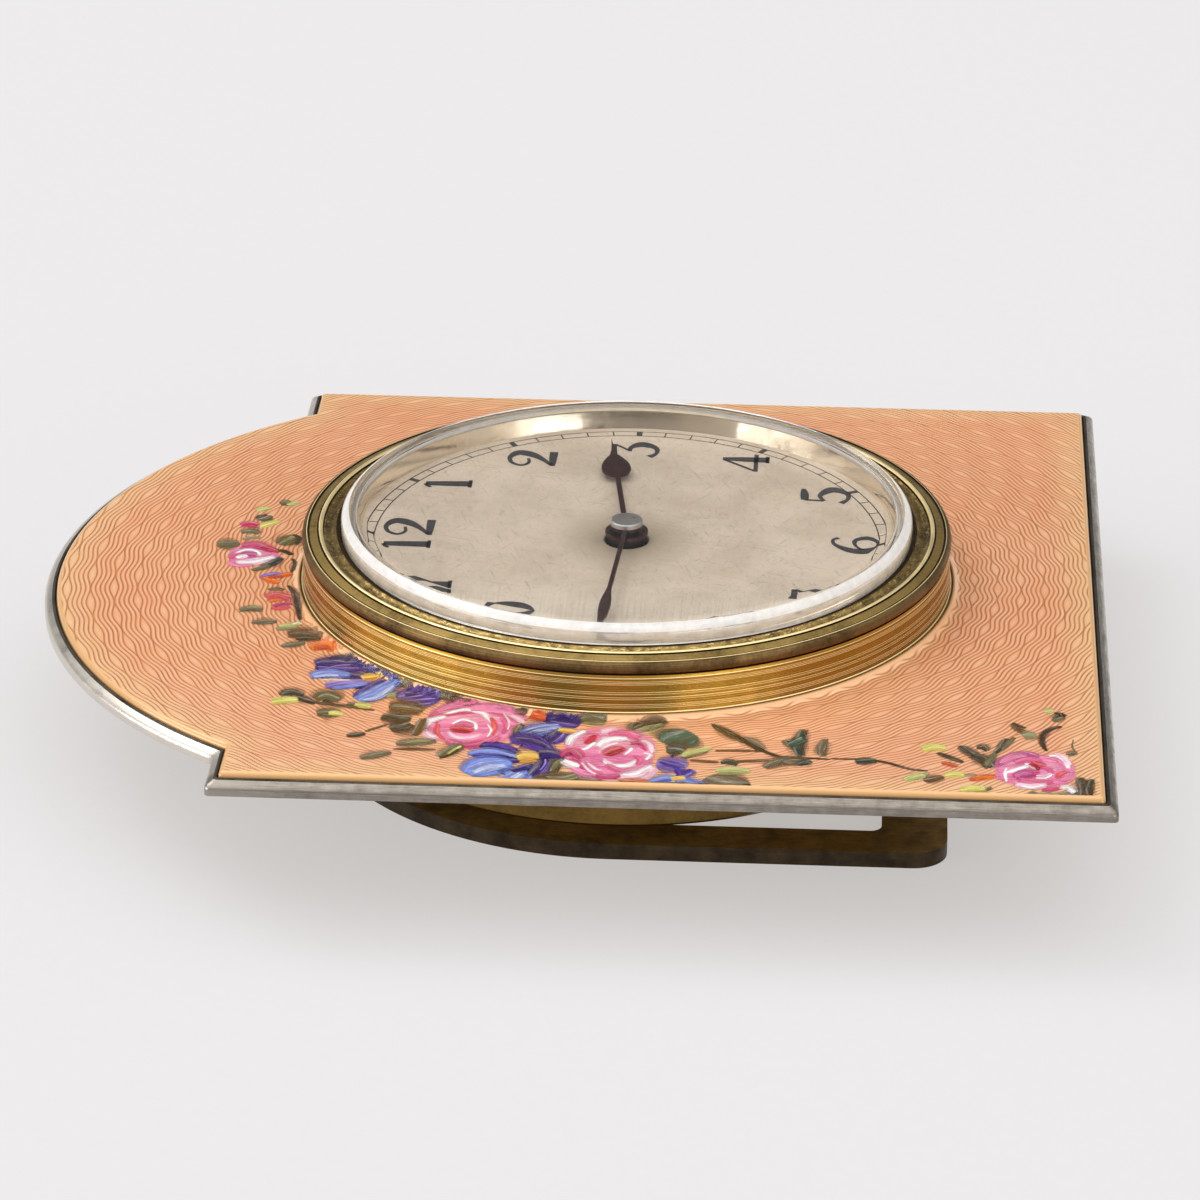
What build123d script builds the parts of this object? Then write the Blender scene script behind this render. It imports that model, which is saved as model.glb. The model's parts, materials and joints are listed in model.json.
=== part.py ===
from build123d import *
import os
from math import acos, atan2, cos, degrees, dist, radians, sin, sqrt

os.makedirs("parts", exist_ok=True)

# Plate outline in mm, heights along 12 o'clock measured from the dial axis
plate_width = 67.6
arch_width = 58.5
plate_drop = 33.9
shoulder_rise = 26.0
arch_rise = 41.2

# Silver frame and enamel panel
frame_edge = 0.7
bevel_rise = 0.32
bevel_width = 0.75
rim_width = 0.8
tray_floor = 0.4
panel_gap = 0.05
panel_proud = 0.33
panel_round = 0.45

# Clearances
fit_gap = 0.01
running_gap = 0.03
case_gap = 0.15
end_shake = 0.1

# Thicknesses from the floor up to the dial, with the clock lying on its folded strut
strut_thickness = 1.15
strut_clearance = 1.1
cover_thickness = 0.5
ratchet_clearance = 0.2
ratchet_thickness = 0.6
bridge_thickness = 1.2
train_height = 4.6
plate_thickness = 1.6
motion_height = 2.15
dial_thickness = 0.5
dial_rise = 2.5

# Bezel, heights from the enamel
bezel_foot_radius = 23.1
bezel_foot_height = 0.2
bezel_wall_radius = 22.98
bezel_wall_top = 22.76
bezel_wall_height = 3.12
band_radius = 22.94
band_height = 0.86
ridge_radius = 21.65
ridge_width = 0.2
ridge_height = 4.23
groove_height = 4.08
groove_depth = 0.12
lip_thickness = 0.7

# Crystal, rehaut and dial
crystal_radius = 20.17
crystal_seat = 3.95
crystal_wall = 0.85
shoulder_radius = 19.6
shoulder_height = 1.5
crown_height = 2.35
crystal_hollow = 1.3
hollow_rise = 0.8
hollow_radius = 18.9
crystal_land = 19.3
rehaut_foot = 19.15
rehaut_mouth = 19.55
dial_radius = 19.8
dial_hole = 1.55
dial_foot_radius = 0.4
dial_foot_length = 1.0
dial_foot_circle = 17.2
dial_foot_angles = (60, 240)

# Case drum and back cover
drum_bore = 20.2
drum_wall = 0.7
drum_top_gap = 0.15
clamp_thickness = 0.6
ledge_width = 0.9
ledge_height = 0.6
lid_wall = 0.75
lid_depth = 1.4

# Movement plates
plate_rim = 1.05
bridge_margin = 0.75
pillar_radius = 1.1
pillar_circle = 17.3
pillar_angles = (100, 250, 310, 10)
screw_radius = 0.5
screw_head_radius = 0.9
screw_head_height = 0.45
screw_depth = 1.6
slot_width = 0.25
slot_depth = 0.2
pivot_radius = 0.2
pivot_length = 0.8
arbor_radius = 0.34

# Wheels and pinions: tooth counts and modules
barrel_teeth = 72
intermediate_leaves = 12
barrel_module = 0.24
intermediate_teeth = 50
center_leaves = 10
intermediate_module = 0.22
center_teeth = 64
third_leaves = 8
center_module = 0.18
third_teeth = 60
fourth_leaves = 8
third_module = 0.16
fourth_teeth = 60
escape_leaves = 6
fourth_module = 0.14
escape_teeth = 15
escape_radius = 2.6
escape_tooth_height = 0.75
cannon_leaves = 10
minute_teeth = 30
minute_leaves = 8
hour_teeth = 32
motion_module = 0.26
minute_pinion_wall = 0.17

# Tooth form, as shares of the module and of the tooth pitch
addendum = 1.0
dedendum = 1.35
root_share = 0.28
tip_share = 0.10

# Directions of the train round the movement, in degrees from 3 o'clock
barrel_direction = 180
third_direction = -30
fourth_direction = 70
escape_direction = 60
pallet_direction = 110
balance_direction = 130
minute_direction = 225
barrel_distance = 10.1
pallet_distance = 3.1
balance_distance = 3.7

# Levels of the train, measured back from the main plate
center_wheel_drop = 0.7
intermediate_drop = 1.35
barrel_drop = 1.55
escape_drop = 2.15
third_drop = 2.25
fourth_drop = 3.25
fork_drop = 1.85
pallet_bridge_drop = 2.7
roller_drop = 2.9
balance_drop = 3.9
wheel_thickness = 0.35
escape_thickness = 0.2
fork_thickness = 0.3
pinion_overhang = 0.12
hub_radius = 1.3
wheel_rim = 0.65
spoke_width = 0.55
spoke_count = 5

# Barrel and mainspring
barrel_wall = 0.45
barrel_flange = 0.6
barrel_body_gap = 0.35
barrel_shake = 0.3
barrel_cover_thickness = 0.4
barrel_arbor_radius = 0.9
barrel_hub_radius = 1.6
spring_thickness = 0.22
spring_turns = 6
spring_gap = 0.2

# Ratchet and click
ratchet_teeth = 30
ratchet_radius = 4.3
ratchet_tooth_height = 0.5
click_length = 3.0
click_width = 1.1
click_gap = 0.08
click_direction = -75
click_spring_direction = -115
click_screw_radius = 0.45
click_spring_width = 0.25
click_spring_length = 5.0

# Centre arbor and friction clutch
center_arbor_radius = 0.6
center_collar_radius = 0.95
center_collar_height = 0.35
clutch_radius = 2.2
clutch_thickness = 0.1
clutch_arm = 0.9

# Escapement and balance
pallet_span = 30
pallet_arm_width = 0.55
fork_width = 0.5
fork_slot = 0.36
stone_length = 0.7
stone_width = 0.35
pallet_foot = 4.9
pallet_foot_direction = -2
pallet_bridge_width = 1.7
pallet_bridge_thickness = 0.4
balance_radius = 4.2
balance_rim_width = 0.6
balance_rim_height = 0.6
balance_arm_width = 0.8
staff_radius = 0.35
roller_radius = 1.2
roller_thickness = 0.35
impulse_radius = 0.14
impulse_circle = 0.95
hairspring_turns = 6
hairspring_inner = 0.85
hairspring_pitch = 0.34
hairspring_thickness = 0.07
hairspring_width = 0.25
hairspring_gap = 0.15
stud_radius = 0.25
cock_width = 3.0
cock_foot_distance = 6.4
cock_foot_direction = 8
cock_foot_radius = 1.35
bridge_cut_gap = 0.7
regulator_thickness = 0.35
regulator_ring = 0.5
regulator_length = 3.6
regulator_direction = 175

# Hands, lengths from the dial axis and angles clockwise from 12 o'clock
hour_angle = 83
minute_angle = 273.5
hand_thickness = 0.2
hour_hand_gap = 0.42
hand_spacing = 0.25
hour_pipe_wall = 0.35
hour_boss_wall = 0.2
pear_start = 9.4
pear_pull = 1.35
pear_low_share = 0.1
pear_high_share = 0.5
pear_end = 13.2
hour_length = 16.0
hour_stem = 0.36
minute_length = 17.4
minute_stem = 0.3
leaf_start = 10.2
leaf_center = 12.0
leaf_pull = 0.78
cannon_pipe_radius = 0.92
cap_radius = 1.13
cap_height = 0.32

# Winding key and setting knob
key_radius = 1.5
key_end = 0.45
key_pin_height = 1.15
key_pin_radius = 0.3
bail_length = 5.6
bail_width = 6.0
bail_arm = 1.25
bail_bar = 1.6
bail_thickness = 0.8
bail_tail = 0.9
key_direction = -90
knob_radius = 2.8
knob_end = 0.7
knob_gap = 0.25
knob_flutes = 24
knob_flute_radius = 0.2

# Strut and its hinge
strut_reach = 22.0
strut_width = 3.2
strut_drop = 23.05
strut_bar = 4.5
strut_corner = 2.4
strut_window_corner = 0.8
hinge_share = 0.8
hinge_level = 1.2
knuckle_radius = 0.95
hinge_pin_radius = 0.5
knuckle_inset = 0.9
knuckle_gap = 0.2
bracket_length = 5.1
bracket_thickness = 0.5
bracket_screw_share = 0.63
stop_length = 1.6
stop_width = 3.0
stop_thickness = 0.5

# Seats of the wheels on their arbors
seat_radius = 0.6
center_pipe_radius = 0.9

# Levels, from the floor up
cover_back = strut_thickness + strut_clearance
cover_front = cover_back + cover_thickness
ratchet_back = cover_front + ratchet_clearance
bridge_back = ratchet_back + ratchet_thickness + end_shake
bridge_front = bridge_back + bridge_thickness
plate_back = bridge_front + train_height
plate_front = plate_back + plate_thickness
dial_back = plate_front + motion_height
dial_face = dial_back + dial_thickness
enamel_top = dial_face - dial_rise
rim_top = enamel_top - panel_proud
frame_back = rim_top - bevel_rise - frame_edge
tray_level = frame_back + tray_floor
seat_level = enamel_top + crystal_seat

# The origin lies under the middle of the plate
dial_y = (plate_drop - arch_rise) / 2
center = (0, dial_y)

# Hinge of the strut, from the width of its arms there
hinge_rise = hinge_share * strut_reach
hinge_y = dial_y + hinge_rise
strut_window = strut_reach - strut_width
knuckle_start = sqrt(strut_window**2 - hinge_rise**2)
knuckle_end = sqrt(strut_reach**2 - hinge_rise**2) - knuckle_inset
knuckle_length = knuckle_end - knuckle_start
bracket_half_width = knuckle_start - knuckle_gap
bracket_screw_spread = bracket_screw_share * bracket_half_width

# Shared radii
drum_radius = drum_bore + drum_wall
plate_hole = drum_radius + case_gap
movement_radius = drum_bore - case_gap
bridge_radius = drum_bore - ledge_width - running_gap
bridge_edge = bridge_radius - bridge_margin


def away(spot, distance, angle):
    """The point at a distance and direction from a spot."""
    x = spot[0] + distance * cos(radians(angle))
    y = spot[1] + distance * sin(radians(angle))
    return (x, y)


def heading(spot, other):
    """The direction from one spot to another, in degrees from 3 o'clock."""
    return degrees(atan2(other[1] - spot[1], other[0] - spot[0]))


def at(spot, height):
    """A level plane centred on a spot."""
    return Plane((spot[0], spot[1], height))


def facing(spot, height, angle):
    """A level plane whose local X points in a direction."""
    x_dir = (cos(radians(angle)), sin(radians(angle)), 0)
    return Plane(origin=(spot[0], spot[1], height), x_dir=x_dir, z_dir=(0, 0, 1))


def upright(spot):
    """The vertical axis through a spot."""
    return Axis((spot[0], spot[1], 0), (0, 0, 1))


def section(spot):
    """The plane that holds a turned profile: local X is the radius, local Y the height."""
    return Plane(origin=(spot[0], spot[1], 0), x_dir=(1, 0, 0), z_dir=(0, -1, 0))


def turn(spot, base, steps, mode=Mode.ADD):
    """Turn a stepped profile about a spot, from steps of (radius, upper level)."""
    points = [(0, base)]
    floor = base
    for radius, top in steps:
        if points[-1] != (radius, floor):
            points.append((radius, floor))
        points.append((radius, top))
        floor = top
    points.append((0, floor))
    with BuildSketch(section(spot)) as profile:
        with BuildLine():
            Polyline(*points, close=True)
        make_face()
    revolve(profile.sketch, axis=upright(spot), mode=mode)


def drill(spots, radius, base, top):
    """Bore upright holes between two levels."""
    for spot in spots:
        turn(spot, base, [(radius, top)], mode=Mode.SUBTRACT)


def tooth_ring(teeth, module, toward, tooth_there):
    """Corner points of a toothed rim, with a tooth or a gap in the direction toward."""
    pitch_radius = module * teeth / 2
    root = pitch_radius - dedendum * module
    tip = pitch_radius + addendum * module
    step = 360 / teeth
    first = toward if tooth_there else toward + step / 2
    points = []
    for tooth in range(teeth):
        middle = first + tooth * step
        points.append(away((0, 0), root, middle - root_share * step))
        points.append(away((0, 0), tip, middle - tip_share * step))
        points.append(away((0, 0), tip, middle + tip_share * step))
        points.append(away((0, 0), root, middle + root_share * step))
    return points


def pinion(spot, base, top, leaves, module, toward):
    """Leaves of a pinion, with a gap in the direction toward."""
    with BuildSketch(at(spot, base)) as profile:
        with BuildLine():
            Polyline(*tooth_ring(leaves, module, toward, False), close=True)
        make_face()
    extrude(profile.sketch, amount=top - base)


def wheel(spot, base, thickness, teeth, module, toward, bore):
    """A spoked wheel, with a tooth in the direction toward."""
    inner = module * teeth / 2 - dedendum * module - wheel_rim
    with BuildSketch(at(spot, base)) as profile:
        with BuildLine():
            Polyline(*tooth_ring(teeth, module, toward, True), close=True)
        make_face()
        Circle(inner, mode=Mode.SUBTRACT)
        with PolarLocations(inner / 2, spoke_count):
            Rectangle(inner + wheel_rim / 2, spoke_width)
        Circle(hub_radius)
        Circle(bore, mode=Mode.SUBTRACT)
    extrude(profile.sketch, amount=thickness)


def spiral(spot, base, width, inner, pitch, turns, thickness):
    """A flat spiral spring of half-turn arcs, swung from two centres."""
    half_step = pitch / 2
    with BuildSketch(at(spot, base)) as profile:
        with BuildLine():
            for half in range(2 * turns):
                middle = half_step * (half % 2 - 0.5)
                start = 180 * (half % 2)
                radius = inner + half_step * half
                CenterArc((middle, 0), radius, start, 180)
                CenterArc((middle, 0), radius + thickness, start, 180)
            first = inner - half_step / 2
            last = first + pitch * turns
            Line((first, 0), (first + thickness, 0))
            Line((last, 0), (last + thickness, 0))
        make_face()
    extrude(profile.sketch, amount=width)


def cut_slot(spot, base, length, angle):
    """A screwdriver slot across a head that faces the back."""
    with BuildSketch(facing(spot, base, angle)) as slot:
        Rectangle(length, slot_width)
    extrude(slot.sketch, amount=slot_depth, mode=Mode.SUBTRACT)


def screw(spot, head_level, head_radius, shank_radius, depth, angle):
    """A slotted screw driven in from the back, its head below head_level."""
    bottom = head_level - screw_head_height
    turn(spot, bottom, [(head_radius, head_level), (shank_radius, head_level + depth)])
    cut_slot(spot, bottom, 2 * head_radius, angle)


def plate_outline(inset, height):
    """The plate's outline, drawn in by an inset: square foot, shoulders and arch."""
    sagitta = arch_rise - shoulder_rise
    radius = (arch_width**2 / 4 + sagitta**2) / (2 * sagitta)
    arch_center = arch_rise - radius
    half = plate_width / 2 - inset
    foot = -plate_drop + inset
    shoulder = shoulder_rise - inset
    chord = sqrt((radius - inset) ** 2 - (shoulder - arch_center) ** 2)
    with BuildSketch(at(center, height)) as outline:
        with BuildLine():
            Polyline((-chord, shoulder), (-half, shoulder), (-half, foot))
            Line((-half, foot), (half, foot))
            Polyline((half, foot), (half, shoulder), (chord, shoulder))
            ThreePointArc((chord, shoulder), (0, arch_rise - inset), (-chord, shoulder))
        make_face()
    return outline.sketch


def hand_plane(angle, height):
    """A level plane on the dial axis whose local Y points along a hand."""
    return facing(center, height, -angle)


def finish(builder, label):
    """Name a piece and write it out."""
    builder.part.label = label
    export_step(builder.part, f"parts/{label}.step")


# Where the arbors stand
barrel_spot = away(center, barrel_distance, barrel_direction)
intermediate_reach = intermediate_module * (intermediate_teeth + center_leaves) / 2
barrel_reach = barrel_module * (barrel_teeth + intermediate_leaves) / 2
reach_squares = barrel_distance**2 + intermediate_reach**2 - barrel_reach**2
intermediate_turn = degrees(acos(reach_squares / (2 * barrel_distance * intermediate_reach)))
intermediate_direction = barrel_direction - intermediate_turn
intermediate_spot = away(center, intermediate_reach, intermediate_direction)
barrel_to_intermediate = heading(barrel_spot, intermediate_spot)
third_spot = away(center, center_module * (center_teeth + third_leaves) / 2, third_direction)
fourth_spot = away(third_spot, third_module * (third_teeth + fourth_leaves) / 2, fourth_direction)
escape_spot = away(fourth_spot, fourth_module * (fourth_teeth + escape_leaves) / 2, escape_direction)
pallet_spot = away(escape_spot, pallet_distance, pallet_direction)
balance_spot = away(pallet_spot, balance_distance, balance_direction)
minute_spot = away(center, motion_module * (cannon_leaves + minute_teeth) / 2, minute_direction)
cock_foot_spot = away(balance_spot, cock_foot_distance, cock_foot_direction)
pallet_foot_spot = away(pallet_spot, pallet_foot, pallet_foot_direction)
click_spot = away(barrel_spot, ratchet_radius + click_width / 2 + click_gap, click_direction)
click_pivot = away(click_spot, click_length, click_direction + 90)
spring_foot = away(click_pivot, click_spring_length, click_spring_direction)
pillar_spots = [away(center, pillar_circle, angle) for angle in pillar_angles]
dial_foot_spots = [away(center, dial_foot_circle, angle) for angle in dial_foot_angles]
pivot_hole = pivot_radius + running_gap
pivot_bottom = bridge_front - pivot_length
pivot_top = plate_back + pivot_length

# Silver frame: a shallow tray with a bevelled rim
with BuildPart() as silver_frame:
    extrude(plate_outline(0, frame_back), amount=rim_top - frame_back)
    top_face = silver_frame.faces().sort_by(Axis.Z)[-1]
    chamfer(top_face.edges(), length=bevel_width, length2=bevel_rise, reference=top_face)
    extrude(plate_outline(rim_width, tray_level), amount=rim_top - tray_level, mode=Mode.SUBTRACT)
    drill([center], plate_hole, frame_back, rim_top)
finish(silver_frame, "silver_frame")

# Enamel panel, standing a little above the rim
with BuildPart() as enamel_panel:
    extrude(plate_outline(rim_width + panel_gap, tray_level), amount=enamel_top - tray_level)
    fillet(enamel_panel.faces().sort_by(Axis.Z)[-1].edges(), panel_round)
    drill([center], plate_hole, tray_level, enamel_top)
finish(enamel_panel, "enamel_panel")

# Bezel: tapered, turned ring that screws on the drum and holds the crystal
bezel_bore = drum_radius + case_gap
lip_bore = crystal_radius + running_gap
band_base = enamel_top + bezel_wall_height
band_top = band_base + band_height
lip_back = enamel_top + groove_height - lip_thickness
band_middle = (band_base + band_top) / 2
foot_top = enamel_top + bezel_foot_height
ridge_top = enamel_top + ridge_height
groove_top = enamel_top + groove_height
ridge_inside = ridge_radius - ridge_width
groove_middle = (ridge_inside + lip_bore) / 2
with BuildPart() as bezel:
    with BuildSketch(section(center)):
        with BuildLine():
            Polyline((lip_bore, groove_top), (lip_bore, lip_back), (bezel_bore, lip_back))
            Polyline((bezel_bore, lip_back), (bezel_bore, enamel_top), (bezel_foot_radius, enamel_top))
            Line((bezel_foot_radius, enamel_top), (bezel_foot_radius, foot_top))
            Line((bezel_foot_radius, foot_top), (bezel_wall_radius, foot_top))
            Line((bezel_wall_radius, foot_top), (bezel_wall_top, band_base))
            ThreePointArc(
                (bezel_wall_top, band_base), (band_radius, band_middle), (bezel_wall_top, band_top)
            )
            Polyline((bezel_wall_top, band_top), (ridge_radius, ridge_top), (ridge_inside, ridge_top))
            ThreePointArc(
                (ridge_inside, ridge_top), (groove_middle, groove_top - groove_depth), (lip_bore, groove_top)
            )
        make_face()
    revolve(axis=upright(center))
finish(bezel, "bezel")

# Crystal: domed glass with a bevelled edge and a hollow back
wall_top = seat_level + crystal_wall
shoulder_top = seat_level + shoulder_height
crown = seat_level + crown_height
hollow_crown = seat_level + crystal_hollow
hollow_edge = seat_level + hollow_rise
with BuildPart() as crystal:
    with BuildSketch(section(center)):
        with BuildLine():
            TangentArc((0, crown), (shoulder_radius, shoulder_top), tangent=(1, 0))
            Line((0, crown), (0, hollow_crown))
            TangentArc((0, hollow_crown), (hollow_radius, hollow_edge), tangent=(1, 0))
            Polyline((hollow_radius, hollow_edge), (crystal_land, seat_level), (crystal_radius, seat_level))
            Line((crystal_radius, seat_level), (crystal_radius, wall_top))
            Line((crystal_radius, wall_top), (shoulder_radius, shoulder_top))
        make_face()
    revolve(axis=upright(center))
finish(crystal, "crystal")

# Rehaut: polished cone between the dial and the crystal
with BuildPart() as rehaut_ring:
    with BuildSketch(section(center)):
        with BuildLine():
            rehaut_outer = drum_bore - case_gap
            Polyline(
                (rehaut_foot, dial_face),
                (rehaut_outer, dial_face),
                (rehaut_outer, seat_level),
                (rehaut_mouth, seat_level),
                close=True,
            )
        make_face()
    revolve(axis=upright(center))
finish(rehaut_ring, "rehaut_ring")

# Dial with two soldered feet
with BuildPart() as dial:
    turn(center, dial_back, [(dial_radius, dial_face)])
    for spot in dial_foot_spots:
        turn(spot, plate_front - dial_foot_length, [(dial_foot_radius, dial_back)])
    drill([center], dial_hole, dial_back, dial_face)
finish(dial, "dial")

# Levels of the motion work and hands
hour_hand_level = dial_face + hour_hand_gap
minute_hand_level = hour_hand_level + hand_thickness + hand_spacing
cannon_base = plate_front + end_shake
minute_wheel_level = cannon_base + end_shake / 2
hour_wheel_level = minute_wheel_level + wheel_thickness + 2 * end_shake
hour_pipe_bore = cannon_pipe_radius + running_gap
hour_pipe_radius = hour_pipe_bore + hour_pipe_wall

# Hour hand, pear shaped
with BuildPart() as hour_hand:
    with BuildSketch(hand_plane(hour_angle, hour_hand_level)):
        with BuildLine():
            half_stem = hour_stem / 2
            pear_low = (pear_pull, pear_start + pear_low_share * (pear_end - pear_start))
            pear_high = (pear_pull, pear_start + pear_high_share * (pear_end - pear_start))
            Polyline((0, 0), (half_stem, 0), (half_stem, pear_start))
            Bezier((half_stem, pear_start), pear_low, pear_high, (half_stem, pear_end))
            Polyline((half_stem, pear_end), (0, hour_length), (0, 0))
        make_face()
        mirror(about=Plane.YZ)
        Circle(hour_pipe_radius + hour_boss_wall)
        Circle(hour_pipe_radius + fit_gap, mode=Mode.SUBTRACT)
    extrude(amount=hand_thickness)
finish(hour_hand, "hour_hand")

# Minute hand, a slim leaf
minute_seat = center_arbor_radius + fit_gap
with BuildPart() as minute_hand:
    with BuildSketch(hand_plane(minute_angle, minute_hand_level)):
        with BuildLine():
            half_stem = minute_stem / 2
            leaf_inner = (half_stem, leaf_center)
            leaf_outer = (leaf_pull, leaf_center)
            Polyline((0, 0), (half_stem, 0), (half_stem, leaf_start))
            Bezier((half_stem, leaf_start), leaf_inner, leaf_outer, (0, minute_length))
            Line((0, minute_length), (0, 0))
        make_face()
        mirror(about=Plane.YZ)
        Circle(cap_radius)
        Circle(minute_seat, mode=Mode.SUBTRACT)
    extrude(amount=hand_thickness)
finish(minute_hand, "minute_hand")

# Cap that holds the minute hand on the centre arbor
cap_base = minute_hand_level + hand_thickness
with BuildPart() as hand_cap:
    turn(center, cap_base, [(cap_radius, cap_base + cap_height)])
    chamfer(hand_cap.faces().sort_by(Axis.Z)[-1].edges(), cap_height / 4)
    drill([center], minute_seat, cap_base, cap_base + cap_height / 2)
finish(hand_cap, "hand_cap")

# Case drum: clamp flange behind the plate, inner ledge for the movement
drum_top = lip_back - drum_top_gap
ledge_bore = drum_bore - ledge_width
with BuildPart() as case_drum:
    flange_back = frame_back - clamp_thickness
    turn(
        center,
        cover_front,
        [(drum_radius, flange_back), (bezel_foot_radius, frame_back), (drum_radius, drum_top)],
    )
    drill([center], drum_bore, plate_back, drum_top)
    drill([center], ledge_bore, plate_back - ledge_height, plate_back)
    drill([center], drum_bore, cover_front, plate_back - ledge_height)
finish(case_drum, "case_drum")

# Back cover: a lid that snaps over the drum, with holes for the key and the knob
lid_bore = drum_radius + fit_gap
lid_radius = lid_bore + lid_wall
key_hole = key_radius + case_gap
arbor_hole = center_arbor_radius + case_gap
bracket_screw_y = hinge_y - bracket_length / 2 - knuckle_radius
bracket_screw_spots = [(side * bracket_screw_spread, bracket_screw_y) for side in (-1, 1)]
with BuildPart() as back_cover:
    turn(center, cover_back, [(lid_radius, cover_front + lid_depth)])
    chamfer(back_cover.edges().filter_by(GeomType.CIRCLE).group_by(Axis.Z)[0], cover_thickness / 2)
    chamfer(back_cover.edges().filter_by(GeomType.CIRCLE).group_by(Axis.Z)[-1], lid_wall / 3)
    drill([center], lid_bore, cover_front, cover_front + lid_depth)
    drill([barrel_spot], key_hole, cover_back, cover_front)
    drill([center], arbor_hole, cover_back, cover_front)
    drill(bracket_screw_spots, screw_radius + fit_gap, cover_back, cover_front)
finish(back_cover, "back_cover")

# Main plate: raised rim under the dial, pivot holes, stud of the minute wheel
train_spots = [intermediate_spot, third_spot, fourth_spot, escape_spot]
minute_stud_radius = motion_module * (minute_leaves / 2 - dedendum) - minute_pinion_wall
stud_top = hour_wheel_level + wheel_thickness
with BuildPart() as main_plate:
    turn(center, plate_back, [(movement_radius, dial_back)])
    drill([center], movement_radius - plate_rim, plate_front, dial_back)
    turn(minute_spot, plate_front, [(minute_stud_radius, stud_top)])
    drill([center], center_arbor_radius + running_gap, plate_back, plate_front)
    drill([barrel_spot], barrel_arbor_radius + running_gap, plate_back, plate_front)
    drill(train_spots + [pallet_spot, balance_spot], pivot_hole, plate_back, plate_front)
    drill(dial_foot_spots, dial_foot_radius + running_gap, plate_front - dial_foot_length, plate_front)
finish(main_plate, "main_plate")

# Pillars between the main plate and the train bridge
with BuildPart() as pillars:
    for spot in pillar_spots:
        turn(spot, bridge_front, [(pillar_radius, plate_back)])
    drill(pillar_spots, screw_radius + fit_gap, bridge_front, bridge_front + screw_depth)
finish(pillars, "pillars")

# Train bridge, cut away round the balance
with BuildPart() as train_bridge:
    turn(center, bridge_back, [(bridge_edge, bridge_front)])
    drill([balance_spot], balance_radius + bridge_cut_gap, bridge_back, bridge_front)
    drill([cock_foot_spot], cock_foot_radius + bridge_cut_gap, bridge_back, bridge_front)
    with BuildSketch(facing(balance_spot, bridge_back, cock_foot_direction)) as channel:
        with Locations((cock_foot_distance / 2, 0)):
            Rectangle(cock_foot_distance, cock_width + 2 * bridge_cut_gap)
    extrude(channel.sketch, amount=bridge_thickness, mode=Mode.SUBTRACT)
    drill([center], center_arbor_radius + running_gap, bridge_back, bridge_front)
    drill([barrel_spot], barrel_arbor_radius + running_gap, bridge_back, bridge_front)
    drill(train_spots, pivot_hole, bridge_back, bridge_front)
    drill(pillar_spots, screw_radius + fit_gap, bridge_back, bridge_front)
    drill([click_pivot, spring_foot], click_screw_radius + fit_gap, bridge_back, bridge_front)
finish(train_bridge, "train_bridge")

# Screws that hold the bridge to its pillars
with BuildPart() as bridge_screws:
    for angle, spot in zip(pillar_angles, pillar_spots):
        screw(spot, bridge_back, screw_head_radius, screw_radius, bridge_thickness + screw_depth, angle)
finish(bridge_screws, "bridge_screws")

# Going barrel with its toothed flange
barrel_front = plate_back - barrel_drop
barrel_back = bridge_front + barrel_shake
barrel_pitch = barrel_module * barrel_teeth / 2
barrel_radius = barrel_pitch - dedendum * barrel_module - barrel_body_gap
barrel_bore = barrel_radius - barrel_wall
barrel_floor = barrel_front - barrel_cover_thickness
barrel_lid_level = barrel_back + barrel_cover_thickness
arbor_bore = barrel_arbor_radius + running_gap
with BuildPart() as barrel:
    turn(barrel_spot, barrel_back, [(barrel_radius, barrel_front)])
    with BuildSketch(at(barrel_spot, barrel_front - barrel_flange)) as teeth:
        with BuildLine():
            Polyline(*tooth_ring(barrel_teeth, barrel_module, barrel_to_intermediate, True), close=True)
        make_face()
    extrude(teeth.sketch, amount=barrel_flange)
    drill([barrel_spot], barrel_bore, barrel_back, barrel_floor)
    drill([barrel_spot], arbor_bore, barrel_floor, barrel_front)
finish(barrel, "barrel")

# Barrel cover, snapped into the back of the barrel
with BuildPart() as barrel_cover:
    turn(barrel_spot, barrel_back, [(barrel_bore - fit_gap, barrel_lid_level)])
    drill([barrel_spot], arbor_bore, barrel_back, barrel_lid_level)
finish(barrel_cover, "barrel_cover")

# Barrel arbor: hub inside the barrel, ratchet seat and key end behind the bridge
hub_back = barrel_lid_level + running_gap
hub_front = barrel_floor - running_gap
with BuildPart() as barrel_arbor:
    turn(
        barrel_spot,
        key_pin_height + key_pin_radius + end_shake,
        [
            (barrel_arbor_radius, hub_back),
            (barrel_hub_radius, hub_front),
            (barrel_arbor_radius, plate_back + pivot_length),
        ],
    )
finish(barrel_arbor, "barrel_arbor")

# Mainspring, part wound
spring_inner = barrel_hub_radius + spring_gap
spring_pitch = (barrel_bore - spring_gap - spring_thickness - spring_inner) / (spring_turns + 0.5)
spring_inset = spring_gap / 2
with BuildPart() as mainspring:
    spiral(
        barrel_spot,
        hub_back + spring_inset,
        hub_front - hub_back - 2 * spring_inset,
        spring_inner + spring_pitch / 4,
        spring_pitch,
        spring_turns,
        spring_thickness,
    )
finish(mainspring, "mainspring")

# Ratchet wheel on the barrel arbor, with saw teeth
with BuildPart() as ratchet_wheel:
    with BuildSketch(at(barrel_spot, ratchet_back)):
        with BuildLine():
            saw_points = []
            for tooth in range(ratchet_teeth):
                tooth_angle = click_direction + tooth * 360 / ratchet_teeth
                saw_points.append(away((0, 0), ratchet_radius, tooth_angle))
                saw_points.append(away((0, 0), ratchet_radius - ratchet_tooth_height, tooth_angle))
            Polyline(*saw_points, close=True)
        make_face()
        Circle(barrel_arbor_radius + fit_gap, mode=Mode.SUBTRACT)
    extrude(amount=ratchet_thickness)
finish(ratchet_wheel, "ratchet_wheel")

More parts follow.
